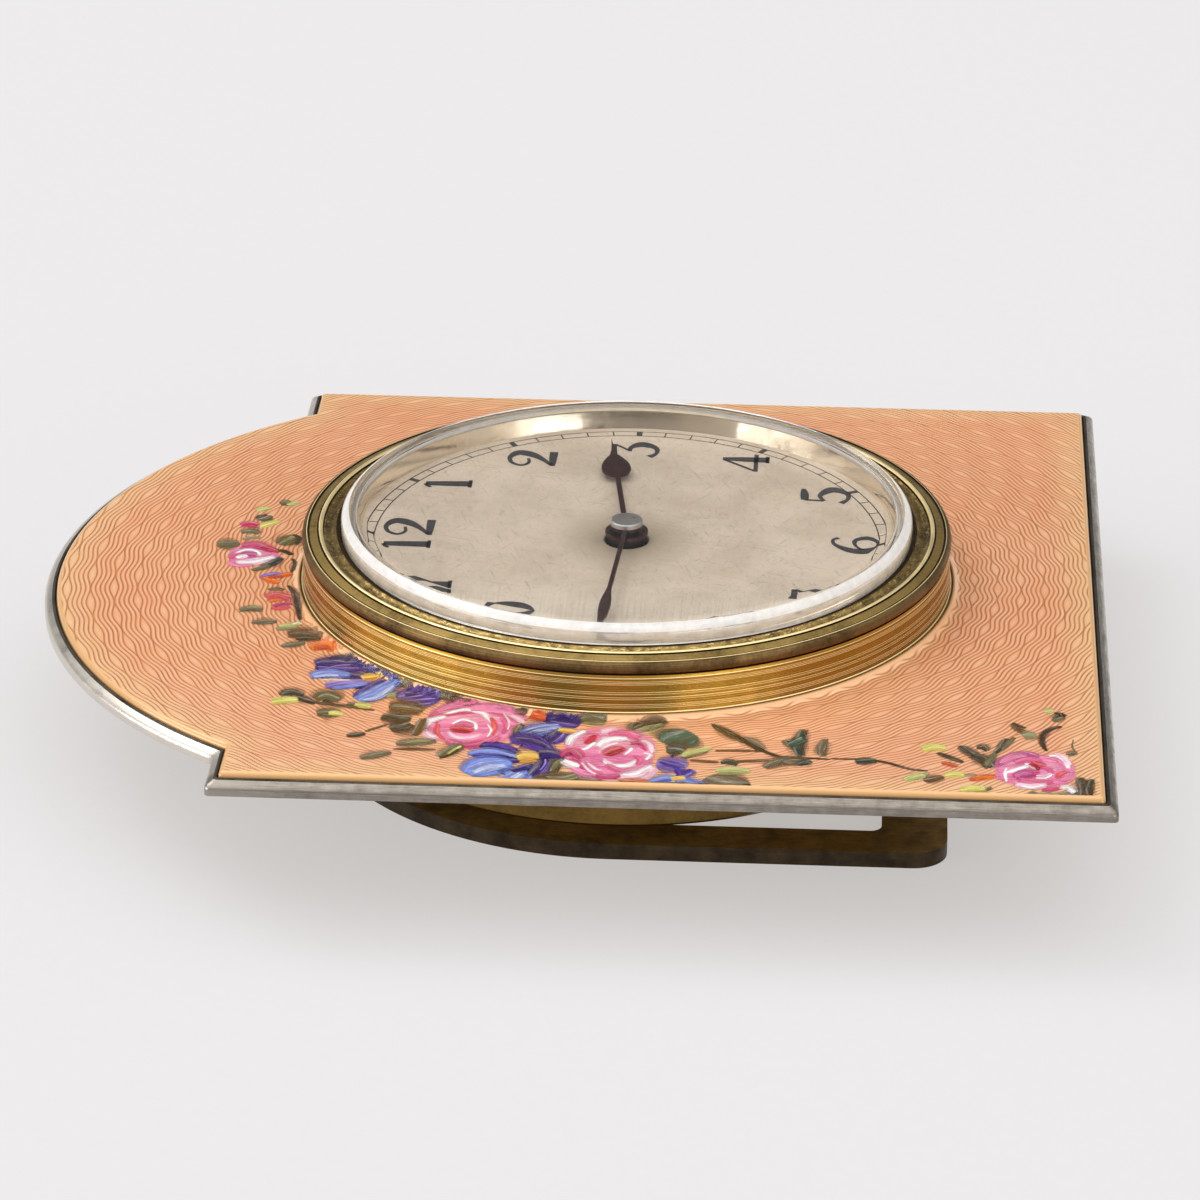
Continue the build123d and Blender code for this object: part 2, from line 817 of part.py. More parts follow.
# Click, its pivot screw and its spring, on the back of the bridge
with BuildPart() as click:
    with BuildSketch(facing(click_pivot, ratchet_back, click_direction - 90)):
        with BuildLine():
            half_click = click_width / 2
            Polyline((0, half_click), (0, -half_click), (click_length, -half_click))
            Polyline((click_length, -half_click), (click_length, 0), (0, half_click))
        make_face()
        Circle(click_width)
        Circle(click_screw_radius + running_gap, mode=Mode.SUBTRACT)
    extrude(amount=ratchet_thickness)
finish(click, "click")

with BuildPart() as click_screw:
    turn(click_pivot, ratchet_back, [(click_screw_radius, bridge_front)])
finish(click_screw, "click_screw")

with BuildPart() as click_spring:
    with BuildSketch(at(spring_foot, ratchet_back)) as leaf:
        spring_away = click_spring_direction + 180
        leaf_end = away((0, 0), click_spring_length - click_width - click_spring_width, spring_away)
        with BuildLine():
            leaf_side = away(leaf_end, click_spring_width, spring_away + 90)
            foot_side = away((0, 0), click_spring_width, spring_away + 90)
            Polyline((0, 0), leaf_end, leaf_side, foot_side, close=True)
        make_face()
        Circle(click_width / 2)
    extrude(amount=ratchet_thickness)
    turn(spring_foot, ratchet_back + ratchet_thickness, [(click_screw_radius, bridge_front)])
finish(click_spring, "click_spring")


def train_arbor(spot, seat, seat_height, mesh_level, leaves, module, toward):
    """A pivoted arbor with its pinion at the driving wheel's level and a seat for its own wheel."""
    core = min(arbor_radius, module * leaves / 2 - dedendum * module)
    pinion_base = mesh_level - pinion_overhang
    pinion_top = mesh_level + wheel_thickness + pinion_overhang
    turn(
        spot,
        pivot_bottom,
        [
            (pivot_radius, bridge_front + end_shake),
            (arbor_radius, pinion_base),
            (core, pinion_top),
            (arbor_radius, plate_back - end_shake),
            (pivot_radius, pivot_top),
        ],
    )
    pinion(spot, pinion_base, pinion_top, leaves, module, toward)
    turn(spot, seat, [(seat_radius, seat + seat_height)])


# Levels of the train wheels
intermediate_level = plate_back - intermediate_drop
center_level = plate_back - center_wheel_drop
third_level = plate_back - third_drop
fourth_level = plate_back - fourth_drop
escape_level = plate_back - escape_drop
seat_bore = seat_radius + fit_gap

# Intermediate wheel and pinion, between the barrel and the centre
with BuildPart() as intermediate_wheel:
    wheel(
        intermediate_spot,
        intermediate_level,
        wheel_thickness,
        intermediate_teeth,
        intermediate_module,
        intermediate_direction + 180,
        seat_bore,
    )
finish(intermediate_wheel, "intermediate_wheel")

with BuildPart() as intermediate_pinion:
    barrel_mesh = barrel_front - barrel_flange
    leaf_top = barrel_front + end_shake
    turn(
        intermediate_spot,
        pivot_bottom,
        [
            (pivot_radius, bridge_front + end_shake),
            (arbor_radius, intermediate_level),
            (seat_radius, intermediate_level + wheel_thickness),
            (arbor_radius, plate_back - end_shake),
            (pivot_radius, pivot_top),
        ],
    )
    pinion(
        intermediate_spot,
        barrel_mesh - pinion_overhang,
        leaf_top,
        intermediate_leaves,
        barrel_module,
        barrel_to_intermediate + 180,
    )
finish(intermediate_pinion, "intermediate_pinion")

# Centre wheel and its pipe, free on the centre arbor but for the friction spring
pipe_base = intermediate_level - pinion_overhang
leaves_top = intermediate_level + wheel_thickness + pinion_overhang
center_top = center_level + wheel_thickness
with BuildPart() as center_wheel:
    wheel(
        center,
        center_level,
        wheel_thickness,
        center_teeth,
        center_module,
        third_direction,
        center_pipe_radius + fit_gap,
    )
finish(center_wheel, "center_wheel")

with BuildPart() as center_pinion:
    pinion(center, pipe_base, leaves_top, center_leaves, intermediate_module, intermediate_direction)
    turn(center, leaves_top, [(center_pipe_radius, center_top)])
    drill([center], center_arbor_radius + running_gap, pipe_base, center_top)
finish(center_pinion, "center_pinion")

# Friction spring: a three-armed washer that grips the centre wheel
clutch_base = center_top + running_gap
clutch_top = clutch_base + clutch_thickness
with BuildPart() as friction_spring:
    with BuildSketch(at(center, clutch_base)):
        with PolarLocations(clutch_radius / 2, 3):
            Rectangle(clutch_radius, clutch_arm)
        Circle(center_pipe_radius + clutch_arm / 2)
        Circle(center_arbor_radius + fit_gap, mode=Mode.SUBTRACT)
    extrude(amount=clutch_thickness)
finish(friction_spring, "friction_spring")

# Centre arbor, from the setting knob to the hand cap
with BuildPart() as center_arbor:
    collar_top = pipe_base - running_gap
    turn(
        center,
        knob_end + end_shake,
        [
            (center_arbor_radius, collar_top - center_collar_height),
            (center_collar_radius, collar_top),
            (center_arbor_radius, clutch_top + fit_gap),
            (center_collar_radius, plate_back - end_shake / 2),
            (center_arbor_radius, cap_base + cap_height / 2 - fit_gap),
        ],
    )
finish(center_arbor, "center_arbor")

# Third wheel
with BuildPart() as third_wheel:
    wheel(
        third_spot,
        third_level,
        wheel_thickness,
        third_teeth,
        third_module,
        fourth_direction,
        seat_bore,
    )
finish(third_wheel, "third_wheel")

with BuildPart() as third_pinion:
    train_arbor(
        third_spot,
        third_level,
        wheel_thickness,
        center_level,
        third_leaves,
        center_module,
        third_direction + 180,
    )
finish(third_pinion, "third_pinion")

# Fourth wheel
with BuildPart() as fourth_wheel:
    wheel(
        fourth_spot,
        fourth_level,
        wheel_thickness,
        fourth_teeth,
        fourth_module,
        escape_direction,
        seat_bore,
    )
finish(fourth_wheel, "fourth_wheel")

with BuildPart() as fourth_pinion:
    train_arbor(
        fourth_spot,
        fourth_level,
        wheel_thickness,
        third_level,
        fourth_leaves,
        third_module,
        fourth_direction + 180,
    )
finish(fourth_pinion, "fourth_pinion")

# Escape wheel with raked teeth
with BuildPart() as escape_wheel:
    with BuildSketch(at(escape_spot, escape_level)):
        with BuildLine():
            rake_points = []
            tooth_step = 360 / escape_teeth
            escape_root = escape_radius - escape_tooth_height
            for tooth in range(escape_teeth):
                tooth_angle = tooth * tooth_step
                rake_points.append(away((0, 0), escape_root, tooth_angle))
                rake_points.append(away((0, 0), escape_radius, tooth_angle + tooth_step / 3))
                rake_points.append(away((0, 0), escape_radius, tooth_angle + tooth_step / 2))
                rake_points.append(away((0, 0), escape_root, tooth_angle + tooth_step / 2))
            Polyline(*rake_points, close=True)
        make_face()
        Circle(escape_root - spoke_width, mode=Mode.SUBTRACT)
        with PolarLocations(escape_root / 2, spoke_count):
            Rectangle(escape_root, spoke_width)
        Circle(2 * seat_radius)
        Circle(seat_bore, mode=Mode.SUBTRACT)
    extrude(amount=escape_thickness)
finish(escape_wheel, "escape_wheel")

with BuildPart() as escape_pinion:
    train_arbor(
        escape_spot,
        escape_level,
        escape_thickness,
        fourth_level,
        escape_leaves,
        fourth_module,
        escape_direction + 180,
    )
finish(escape_pinion, "escape_pinion")

# Pallet fork: lever with a forked end and two arms, standing just clear of the escape wheel
fork_level = plate_back - fork_drop
fork_reach = balance_distance - impulse_circle
stone_spots = [away(escape_spot, escape_radius, pallet_direction + side * pallet_span) for side in (-1, 1)]
with BuildPart() as pallet_fork:
    with BuildSketch(facing(pallet_spot, fork_level, balance_direction)):
        Rectangle(fork_reach + fork_slot, fork_width, align=(Align.MIN, Align.CENTER))
        with Locations((fork_reach, 0)):
            Rectangle(2 * fork_slot, 2 * fork_width + fork_slot)
            Rectangle(2 * fork_slot, fork_slot, align=(Align.MIN, Align.CENTER), mode=Mode.SUBTRACT)
    with BuildSketch(at(pallet_spot, fork_level)):
        for stone in stone_spots:
            arm = dist(pallet_spot, stone) - stone_width / 2 - fit_gap
            across = heading(pallet_spot, stone)
            Rectangle(arm, pallet_arm_width, rotation=across, align=(Align.MIN, Align.CENTER))
        Circle(2 * arbor_radius)
        Circle(arbor_radius + fit_gap, mode=Mode.SUBTRACT)
    extrude(amount=fork_thickness)
    drill([pallet_spot], arbor_radius + fit_gap, fork_level, fork_level + fork_thickness)
finish(pallet_fork, "pallet_fork")

# Pallet stones at the ends of the arms
with BuildPart() as pallet_stones:
    for stone in stone_spots:
        with BuildSketch(facing(stone, fork_level, heading(pallet_spot, stone))) as jewel:
            Rectangle(stone_width, stone_length)
        extrude(jewel.sketch, amount=fork_thickness)
finish(pallet_stones, "pallet_stones")

# Pallet arbor and its bridge
pallet_bridge_back = plate_back - pallet_bridge_drop
pallet_bridge_front = pallet_bridge_back + pallet_bridge_thickness
with BuildPart() as pallet_arbor:
    turn(
        pallet_spot,
        pallet_bridge_back,
        [
            (pivot_radius, pallet_bridge_front + end_shake),
            (arbor_radius, plate_back - end_shake),
            (pivot_radius, pivot_top),
        ],
    )
finish(pallet_arbor, "pallet_arbor")

with BuildPart() as pallet_bridge:
    with BuildSketch(facing(pallet_spot, pallet_bridge_back, pallet_foot_direction)):
        with Locations((pallet_foot / 2, 0)):
            SlotCenterToCenter(pallet_foot, pallet_bridge_width)
    extrude(amount=pallet_bridge_thickness)
    turn(pallet_foot_spot, pallet_bridge_front, [(pallet_bridge_width / 2, plate_back)])
    drill([pallet_spot], pivot_hole, pallet_bridge_back, pallet_bridge_front)
    drill([pallet_foot_spot], screw_radius + fit_gap, pallet_bridge_back, pallet_bridge_front + screw_depth)
finish(pallet_bridge, "pallet_bridge")

# Balance wheel, and its staff with roller and impulse pin
balance_level = plate_back - balance_drop
roller_level = plate_back - roller_drop
roller_top = roller_level + roller_thickness
hairspring_level = bridge_front + hairspring_gap
collet_radius = hairspring_inner - hairspring_pitch / 4 - hairspring_gap
with BuildPart() as balance_wheel:
    with BuildSketch(at(balance_spot, balance_level)):
        Circle(balance_radius)
        Circle(balance_radius - balance_rim_width, mode=Mode.SUBTRACT)
        Rectangle(2 * balance_radius - balance_rim_width, balance_arm_width)
        Circle(balance_arm_width)
        Circle(staff_radius + fit_gap, mode=Mode.SUBTRACT)
    extrude(amount=balance_rim_height)
finish(balance_wheel, "balance_wheel")

with BuildPart() as balance_staff:
    turn(
        balance_spot,
        pivot_bottom,
        [
            (pivot_radius, bridge_front + end_shake),
            (staff_radius, hairspring_level),
            (collet_radius, hairspring_level + hairspring_width),
            (staff_radius, roller_level),
            (roller_radius, roller_top),
            (staff_radius, plate_back - end_shake),
            (pivot_radius, pivot_top),
        ],
    )
    impulse_spot = away(balance_spot, impulse_circle, balance_direction + 180)
    turn(impulse_spot, roller_top, [(impulse_radius, fork_level - end_shake)])
finish(balance_staff, "balance_staff")

# Hairspring, held at its outer end by the stud under the cock
with BuildPart() as hairspring:
    spiral(
        balance_spot,
        hairspring_level,
        hairspring_width,
        hairspring_inner,
        hairspring_pitch,
        hairspring_turns,
        hairspring_thickness,
    )
finish(hairspring, "hairspring")

# Balance cock with its foot, stud and the boss that carries the regulator
spring_start = hairspring_inner - hairspring_pitch / 4
spring_end = spring_start + hairspring_pitch * hairspring_turns + hairspring_thickness
stud_spot = (balance_spot[0] + spring_end + stud_radius + fit_gap, balance_spot[1])
regulator_back = bridge_back - regulator_thickness - running_gap
boss_radius = cock_width / 2 - regulator_ring
with BuildPart() as balance_cock:
    with BuildSketch(facing(balance_spot, bridge_back, cock_foot_direction)):
        with Locations((cock_foot_distance / 2, 0)):
            SlotCenterToCenter(cock_foot_distance, cock_width)
    extrude(amount=bridge_thickness)
    turn(cock_foot_spot, bridge_front, [(cock_foot_radius, plate_back)])
    turn(stud_spot, bridge_front, [(stud_radius, hairspring_level + hairspring_width)])
    turn(balance_spot, regulator_back, [(boss_radius, bridge_back)])
    drill([balance_spot], pivot_hole, regulator_back, bridge_front)
    drill([cock_foot_spot], screw_radius + fit_gap, bridge_back, bridge_front + screw_depth)
finish(balance_cock, "balance_cock")

# Regulator index, turning on the boss of the cock
with BuildPart() as regulator:
    with BuildSketch(facing(balance_spot, regulator_back, regulator_direction)):
        with BuildLine():
            half_index = regulator_ring / 2
            half_tip = half_index / 2
            Polyline((0, -half_index), (regulator_length, -half_tip), (regulator_length, half_tip))
            Polyline((regulator_length, half_tip), (0, half_index), (0, -half_index))
        make_face()
        Circle(boss_radius + regulator_ring)
        Circle(boss_radius + running_gap, mode=Mode.SUBTRACT)
    extrude(amount=regulator_thickness)
finish(regulator, "regulator")

# Screws of the balance cock and the pallet bridge
with BuildPart() as cock_screws:
    screw(cock_foot_spot, bridge_back, screw_head_radius, screw_radius, bridge_thickness + screw_depth, 0)
    screw(
        pallet_foot_spot,
        pallet_bridge_back,
        pallet_bridge_width / 2,
        screw_radius,
        pallet_bridge_thickness + screw_depth,
        0,
    )
finish(cock_screws, "cock_screws")

# Motion work under the dial
with BuildPart() as cannon_pinion:
    cannon_top = minute_wheel_level + wheel_thickness + end_shake
    pinion(center, cannon_base, cannon_top, cannon_leaves, motion_module, minute_direction)
    turn(center, cannon_top, [(cannon_pipe_radius, minute_hand_level)])
    drill([center], minute_seat, cannon_base, minute_hand_level)
finish(cannon_pinion, "cannon_pinion")

with BuildPart() as minute_wheel:
    stud_bore = minute_stud_radius + running_gap
    minute_wheel_top = minute_wheel_level + wheel_thickness
    minute_pinion_top = hour_wheel_level + wheel_thickness + pinion_overhang
    toward_center = minute_direction + 180
    wheel(
        minute_spot,
        minute_wheel_level,
        wheel_thickness,
        minute_teeth,
        motion_module,
        toward_center,
        stud_bore,
    )
    pinion(minute_spot, minute_wheel_top, minute_pinion_top, minute_leaves, motion_module, toward_center)
    drill([minute_spot], stud_bore, minute_wheel_top, minute_pinion_top)
finish(minute_wheel, "minute_wheel")

with BuildPart() as hour_wheel:
    wheel(
        center,
        hour_wheel_level,
        wheel_thickness,
        hour_teeth,
        motion_module,
        minute_direction,
        hour_pipe_bore,
    )
    turn(center, hour_wheel_level, [(hour_pipe_radius, hour_hand_level + hand_thickness)])
    drill([center], hour_pipe_bore, hour_wheel_level, hour_hand_level + hand_thickness)
finish(hour_wheel, "hour_wheel")

# Setting knob on the back end of the centre arbor
with BuildPart() as setting_knob:
    knob_top = cover_back - knob_gap
    with BuildSketch(at(center, knob_end)):
        Circle(knob_radius)
        with PolarLocations(knob_radius, knob_flutes):
            Circle(knob_flute_radius, mode=Mode.SUBTRACT)
    extrude(amount=knob_top - knob_end)
    drill([center], center_arbor_radius + fit_gap, knob_end + end_shake, knob_top)
finish(setting_knob, "setting_knob")

# Winding key: stem on the barrel arbor, pin and folding bail
key_top = ratchet_back - end_shake
bail_half_gap = bail_width / 2 - bail_arm
key_cross = Plane(
    origin=(barrel_spot[0], barrel_spot[1], key_pin_height),
    x_dir=(cos(radians(key_direction)), sin(radians(key_direction)), 0),
    z_dir=(-sin(radians(key_direction)), cos(radians(key_direction)), 0),
)
with BuildPart() as key_stem:
    turn(barrel_spot, key_end, [(key_radius, key_top)])
    chamfer(key_stem.faces().sort_by(Axis.Z)[0].edges(), key_end / 2)
    drill([barrel_spot], barrel_arbor_radius + fit_gap, key_pin_height + key_pin_radius + end_shake, key_top)
    with BuildSketch(key_cross):
        Circle(key_pin_radius + fit_gap)
    extrude(amount=key_radius, both=True, mode=Mode.SUBTRACT)
finish(key_stem, "key_stem")

with BuildPart() as key_pin:
    with BuildSketch(key_cross):
        Circle(key_pin_radius)
    extrude(amount=bail_width / 2, both=True)
finish(key_pin, "key_pin")

with BuildPart() as key_bail:
    with BuildSketch(facing(barrel_spot, key_pin_height - bail_thickness / 2, key_direction)) as bail:
        with Locations((-bail_tail, 0)):
            Rectangle(bail_length + bail_tail, bail_width, align=(Align.MIN, Align.CENTER))
        fillet(bail.vertices(), bail_tail)
        with Locations((-bail_tail, 0)):
            Rectangle(
                bail_length + bail_tail - bail_bar,
                2 * bail_half_gap,
                align=(Align.MIN, Align.CENTER),
                mode=Mode.SUBTRACT,
            )
    extrude(amount=bail_thickness)
    with BuildSketch(key_cross):
        Circle(key_pin_radius + running_gap)
    extrude(amount=bail_width, both=True, mode=Mode.SUBTRACT)
finish(key_bail, "key_bail")

# Strut: flat stirrup that folds against the back, with two knuckles and their stops
with BuildPart() as strut:
    with BuildSketch(at(center, 0)) as loop:
        Circle(strut_reach)
        Rectangle(2 * strut_reach, strut_drop, align=(Align.CENTER, Align.MAX))
        fillet(loop.vertices().group_by(Axis.Y)[0], strut_corner)
        with Locations((0, hinge_rise)):
            Rectangle(2 * strut_reach, strut_reach, align=(Align.CENTER, Align.MIN), mode=Mode.SUBTRACT)
    extrude(amount=strut_thickness)
    with BuildSketch(at(center, 0)) as window:
        Circle(strut_window)
        Rectangle(2 * strut_window, strut_drop - strut_bar, align=(Align.CENTER, Align.MAX))
        fillet(window.vertices().group_by(Axis.Y)[0], strut_window_corner)
    extrude(amount=strut_thickness, mode=Mode.SUBTRACT)
    for side in (-1, 1):
        with BuildSketch(Plane.YZ.offset(side * knuckle_start)):
            with Locations((hinge_y, hinge_level)):
                Circle(knuckle_radius)
        extrude(amount=side * knuckle_length)
        with BuildSketch(Plane.XY.offset(hinge_level - stop_thickness)):
            with Locations((side * (knuckle_start + knuckle_length / 2), hinge_y)):
                Rectangle(stop_width, stop_length, align=(Align.CENTER, Align.MIN))
        extrude(amount=stop_thickness)
    with BuildSketch(Plane.YZ):
        with Locations((hinge_y, hinge_level)):
            Circle(hinge_pin_radius + running_gap)
    extrude(amount=strut_reach, both=True, mode=Mode.SUBTRACT)
finish(strut, "strut")

# Hinge bracket on the back cover, its pin and screws
bracket_back = cover_back - bracket_thickness
with BuildPart() as strut_bracket:
    with BuildSketch(at(center, bracket_back)):
        with Locations((0, hinge_rise)):
            Rectangle(2 * bracket_half_width, bracket_length, align=(Align.CENTER, Align.MAX))
    extrude(amount=bracket_thickness)
    with BuildSketch(Plane.YZ):
        with Locations((hinge_y, hinge_level)):
            Circle(knuckle_radius)
    extrude(amount=bracket_half_width, both=True)
    with BuildSketch(Plane.YZ):
        with Locations((hinge_y, hinge_level)):
            Circle(hinge_pin_radius + fit_gap)
    extrude(amount=bracket_half_width, both=True, mode=Mode.SUBTRACT)
    drill(bracket_screw_spots, screw_radius + fit_gap, bracket_back, cover_back)
finish(strut_bracket, "strut_bracket")

with BuildPart() as strut_pin:
    with BuildSketch(Plane.YZ):
        with Locations((hinge_y, hinge_level)):
            Circle(hinge_pin_radius)
    extrude(amount=knuckle_end, both=True)
finish(strut_pin, "strut_pin")

with BuildPart() as bracket_screws:
    for spot in bracket_screw_spots:
        screw(spot, bracket_back, screw_head_radius, screw_radius, bracket_thickness + cover_thickness, 0)
finish(bracket_screws, "bracket_screws")
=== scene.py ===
import json
import math
import random

import bmesh
import bpy
from mathutils import Matrix, Vector


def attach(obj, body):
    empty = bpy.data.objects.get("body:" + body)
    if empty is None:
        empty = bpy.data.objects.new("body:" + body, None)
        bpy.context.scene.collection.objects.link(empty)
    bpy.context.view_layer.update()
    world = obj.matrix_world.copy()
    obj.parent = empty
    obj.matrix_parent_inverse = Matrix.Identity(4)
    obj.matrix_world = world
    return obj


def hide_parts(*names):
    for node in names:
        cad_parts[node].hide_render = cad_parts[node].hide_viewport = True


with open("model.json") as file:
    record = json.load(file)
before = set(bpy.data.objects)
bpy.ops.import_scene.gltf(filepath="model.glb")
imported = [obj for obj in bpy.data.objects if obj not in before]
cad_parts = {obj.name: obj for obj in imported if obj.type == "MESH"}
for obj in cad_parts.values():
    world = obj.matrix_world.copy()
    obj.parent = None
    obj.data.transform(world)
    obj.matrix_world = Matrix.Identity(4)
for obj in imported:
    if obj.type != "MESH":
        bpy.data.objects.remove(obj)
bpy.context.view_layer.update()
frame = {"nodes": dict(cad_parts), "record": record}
nodes = frame["nodes"]
random.seed(7)

# Plain measures of the clock, in mm, heights from the floor and radii from the dial axis
MM = 0.001
AXIS_Y = -3.65
ENAMEL = 11.2
DIAL = 13.7
SEAT = 15.15
RIM = 10.87
FRAME_BACK = 9.85
TRAY = 10.25
PLATE_HALF = 33.8
PLATE_FOOT = -33.9
SHOULDER = 26.0
ARCH_TOP = 41.2
ARCH_HALF = 29.25
PLATE_HOLE = 21.05
ROUND = 224


def row(x, y, z):
    """A point of the row frame, in metres, from mm measured off the dial axis."""
    return Vector((x * MM, (y + AXIS_Y) * MM, z * MM))


def around(radius, turn):
    """A spot of a circle about the dial axis."""
    return radius * math.cos(turn), radius * math.sin(turn)


def link(name, data):
    """A new object, put into the scene."""
    made = bpy.data.objects.new(name, data)
    bpy.context.scene.collection.objects.link(made)
    return made


# Node trees

class Nodes:
    """A node tree and short ways to add to it."""

    def __init__(self, tree):
        self.tree = tree

    def put(self, socket, value):
        if isinstance(value, bpy.types.NodeSocket):
            self.tree.links.new(value, socket)
        elif socket.type == "RGBA" and len(value) == 3:
            socket.default_value = (*value, 1.0)
        else:
            socket.default_value = value

    def node(self, kind, **settings):
        node = self.tree.nodes.new(kind)
        for key, value in settings.items():
            setattr(node, key, value)
        return node

    def fill(self, node, **values):
        """The first output of a node whose inputs are set by name."""
        for name, value in values.items():
            self.put(node.inputs[name.replace("_", " ")], value)
        return node.outputs[0]

    def row(self, node, *values):
        """The first output of a node whose inputs are set in order."""
        for socket, value in zip(node.inputs, values):
            self.put(socket, value)
        return node.outputs[0]

    def math(self, operation, *values):
        return self.row(self.node("ShaderNodeMath", operation=operation), *values)

    def times(self, a, b):
        return self.math("MULTIPLY", a, b)

    def plus(self, a, b):
        return self.math("ADD", a, b)

    def minus(self, a, b):
        return self.math("SUBTRACT", a, b)

    def vector(self, x, y, z):
        return self.row(self.node("ShaderNodeCombineXYZ"), x, y, z)

    def noise(self, vector, scale, detail=3.0, rough=0.55, distortion=0.0):
        node = self.node("ShaderNodeTexNoise")
        self.fill(node, Vector=vector, Scale=scale, Detail=detail, Roughness=rough, Distortion=distortion)
        return node.outputs[0]

    def streaks(self, *runs, detail=4.0, rough=0.65):
        """Noise drawn out by a scale of its own along each of three coordinates."""
        return self.noise(
            self.vector(*[self.times(value, scale) for value, scale in runs]), 1.0, detail, rough
        )

    def ramp(self, value, low, high, start=0.0, end=1.0):
        node = self.node("ShaderNodeMapRange", clamp=True)
        return self.fill(node, Value=value, From_Min=low, From_Max=high, To_Min=start, To_Max=end)

    def mix(self, factor, a, b, blend="MIX"):
        node = self.node("ShaderNodeMix", data_type="RGBA", blend_type=blend)
        for place, value in ((0, factor), (6, a), (7, b)):
            self.put(node.inputs[place], value)
        return node.outputs[2]


class Mat(Nodes):
    """A material with a Principled shader, its sockets given by name."""

    def __init__(self, name, color=(0.8, 0.8, 0.8), metallic=0.0, rough=0.4, **sockets):
        self.mat = bpy.data.materials.new(name)
        self.mat.use_nodes = True
        super().__init__(self.mat.node_tree)
        self.shader = self.tree.nodes["Principled BSDF"]
        self.fill(self.shader, Base_Color=color, Metallic=metallic, Roughness=rough, **sockets)
        self.coords = None

    def set(self, name, value):
        self.put(self.shader.inputs[name], value)

    def object_xyz(self):
        """Coordinates in mm from the dial axis, together and as separate sockets."""
        if self.coords is None:
            shift = self.node("ShaderNodeVectorMath", operation="SUBTRACT")
            self.row(shift, self.node("ShaderNodeTexCoord").outputs["Object"], (0, AXIS_Y * MM, 0))
            scale = self.node("ShaderNodeVectorMath", operation="SCALE")
            self.put(scale.inputs[0], shift.outputs[0])
            self.put(scale.inputs["Scale"], 1 / MM)
            split = self.node("ShaderNodeSeparateXYZ")
            self.row(split, scale.outputs[0])
            self.coords = (scale.outputs[0], *split.outputs)
        return self.coords

    def polar(self):
        """Radius in mm and angle in radians about the dial axis, and the height."""
        _, x, y, z = self.object_xyz()
        radius = self.math("SQRT", self.plus(self.times(x, x), self.times(y, y)))
        return radius, self.math("ARCTAN2", y, x), z

    def mottle(self, light, dark, scale, low, high, detail=3.0, rough=0.55, most=1.0):
        """Base colour in soft patches of two tones."""
        position, *_ = self.object_xyz()
        patches = self.noise(position, scale, detail, rough)
        self.set("Base Color", self.mix(self.ramp(patches, low, high, 0.0, most), light, dark))

    def bump(self, height, strength, distance):
        node = self.node("ShaderNodeBump")
        self.set("Normal", self.fill(node, Height=height, Strength=strength, Distance=distance * MM))


def metal(name, color, dark, rough, grain, patina=0.5, lathe=True, bump=0.15, scratches=0.3):
    """Worked metal: fine tool lines, patches of patina and faint scratches."""
    made = Mat(name, metallic=1.0)
    position, x, y, z = made.object_xyz()
    if lathe:
        radius, angle, height = made.polar()
        lines = made.streaks((radius, grain), (height, grain), (angle, 0.6))
    else:
        lines = made.streaks((x, grain), (y, 0.25), (z, grain))
    patches = made.noise(position, 0.22, 5.0, 0.62, 0.4)
    specks = made.noise(position, 3.1, 2.0, 0.7)
    worn = made.ramp(made.plus(patches, made.times(made.minus(specks, 0.5), 0.35)), 0.42, 0.72)
    tone = made.mix(made.times(worn, patina), color, dark)
    tone = made.mix(made.ramp(lines, 0.3, 0.7, 0.0, scratches), tone, dark)
    made.set("Base Color", tone)
    rough_low = made.plus(made.times(worn, 0.18), made.ramp(lines, 0.3, 0.7, rough * 0.8, rough * 1.25))
    made.set("Roughness", rough_low)
    made.bump(lines, bump, 0.02)
    return made.mat


# Geometry helpers

def make(name, verts, faces, body, mats, replaced=(), slot=None, indices=None, sharp=32.0):
    """A mesh piece of the object, in mm from the dial axis, riding on a body."""
    mesh = bpy.data.meshes.new(name)
    mesh.from_pydata([row(*v) for v in verts], [], faces)
    for mat in mats:
        mesh.materials.append(mat)
    if indices:
        for polygon, index in zip(mesh.polygons, indices):
            polygon.material_index = index
    mesh.validate()
    piece = link(name, mesh)
    clean = bmesh.new()
    clean.from_mesh(mesh)
    bmesh.ops.recalc_face_normals(clean, faces=clean.faces)
    clean.to_mesh(mesh)
    clean.free()
    for polygon in mesh.polygons:
        polygon.use_smooth = True
    mesh.set_sharp_from_angle(angle=math.radians(sharp))
    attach(piece, body)
    if replaced:
        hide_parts(*replaced)
    return piece


def lathe(name, profile, body, mats, closed=True, count=ROUND, **more):
    """A turned piece; profile holds (radius, height, material place of the run that follows)."""
    verts, rings = [], []
    for radius, height, _ in profile:
        if radius < 1e-6:
            rings.append([len(verts)] * count)
            verts.append((0, 0, height))
        else:
            rings.append(list(range(len(verts), len(verts) + count)))
            for step in range(count):
                turn = 2 * math.pi * step / count
                verts.append((*around(radius, turn), height))
    faces, indices = [], []
    runs = len(profile) if closed else len(profile) - 1
    for place in range(runs):
        a, b = rings[place], rings[(place + 1) % len(rings)]
        for step in range(count):
            after = (step + 1) % count
            face = [a[step], a[after], b[after], b[step]]
            face = [v for i, v in enumerate(face) if v not in face[:i]]
            if len(face) > 2:
                faces.append(face)
                indices.append(profile[place][2])
    return make(name, verts, faces, body, mats, indices=indices, **more)


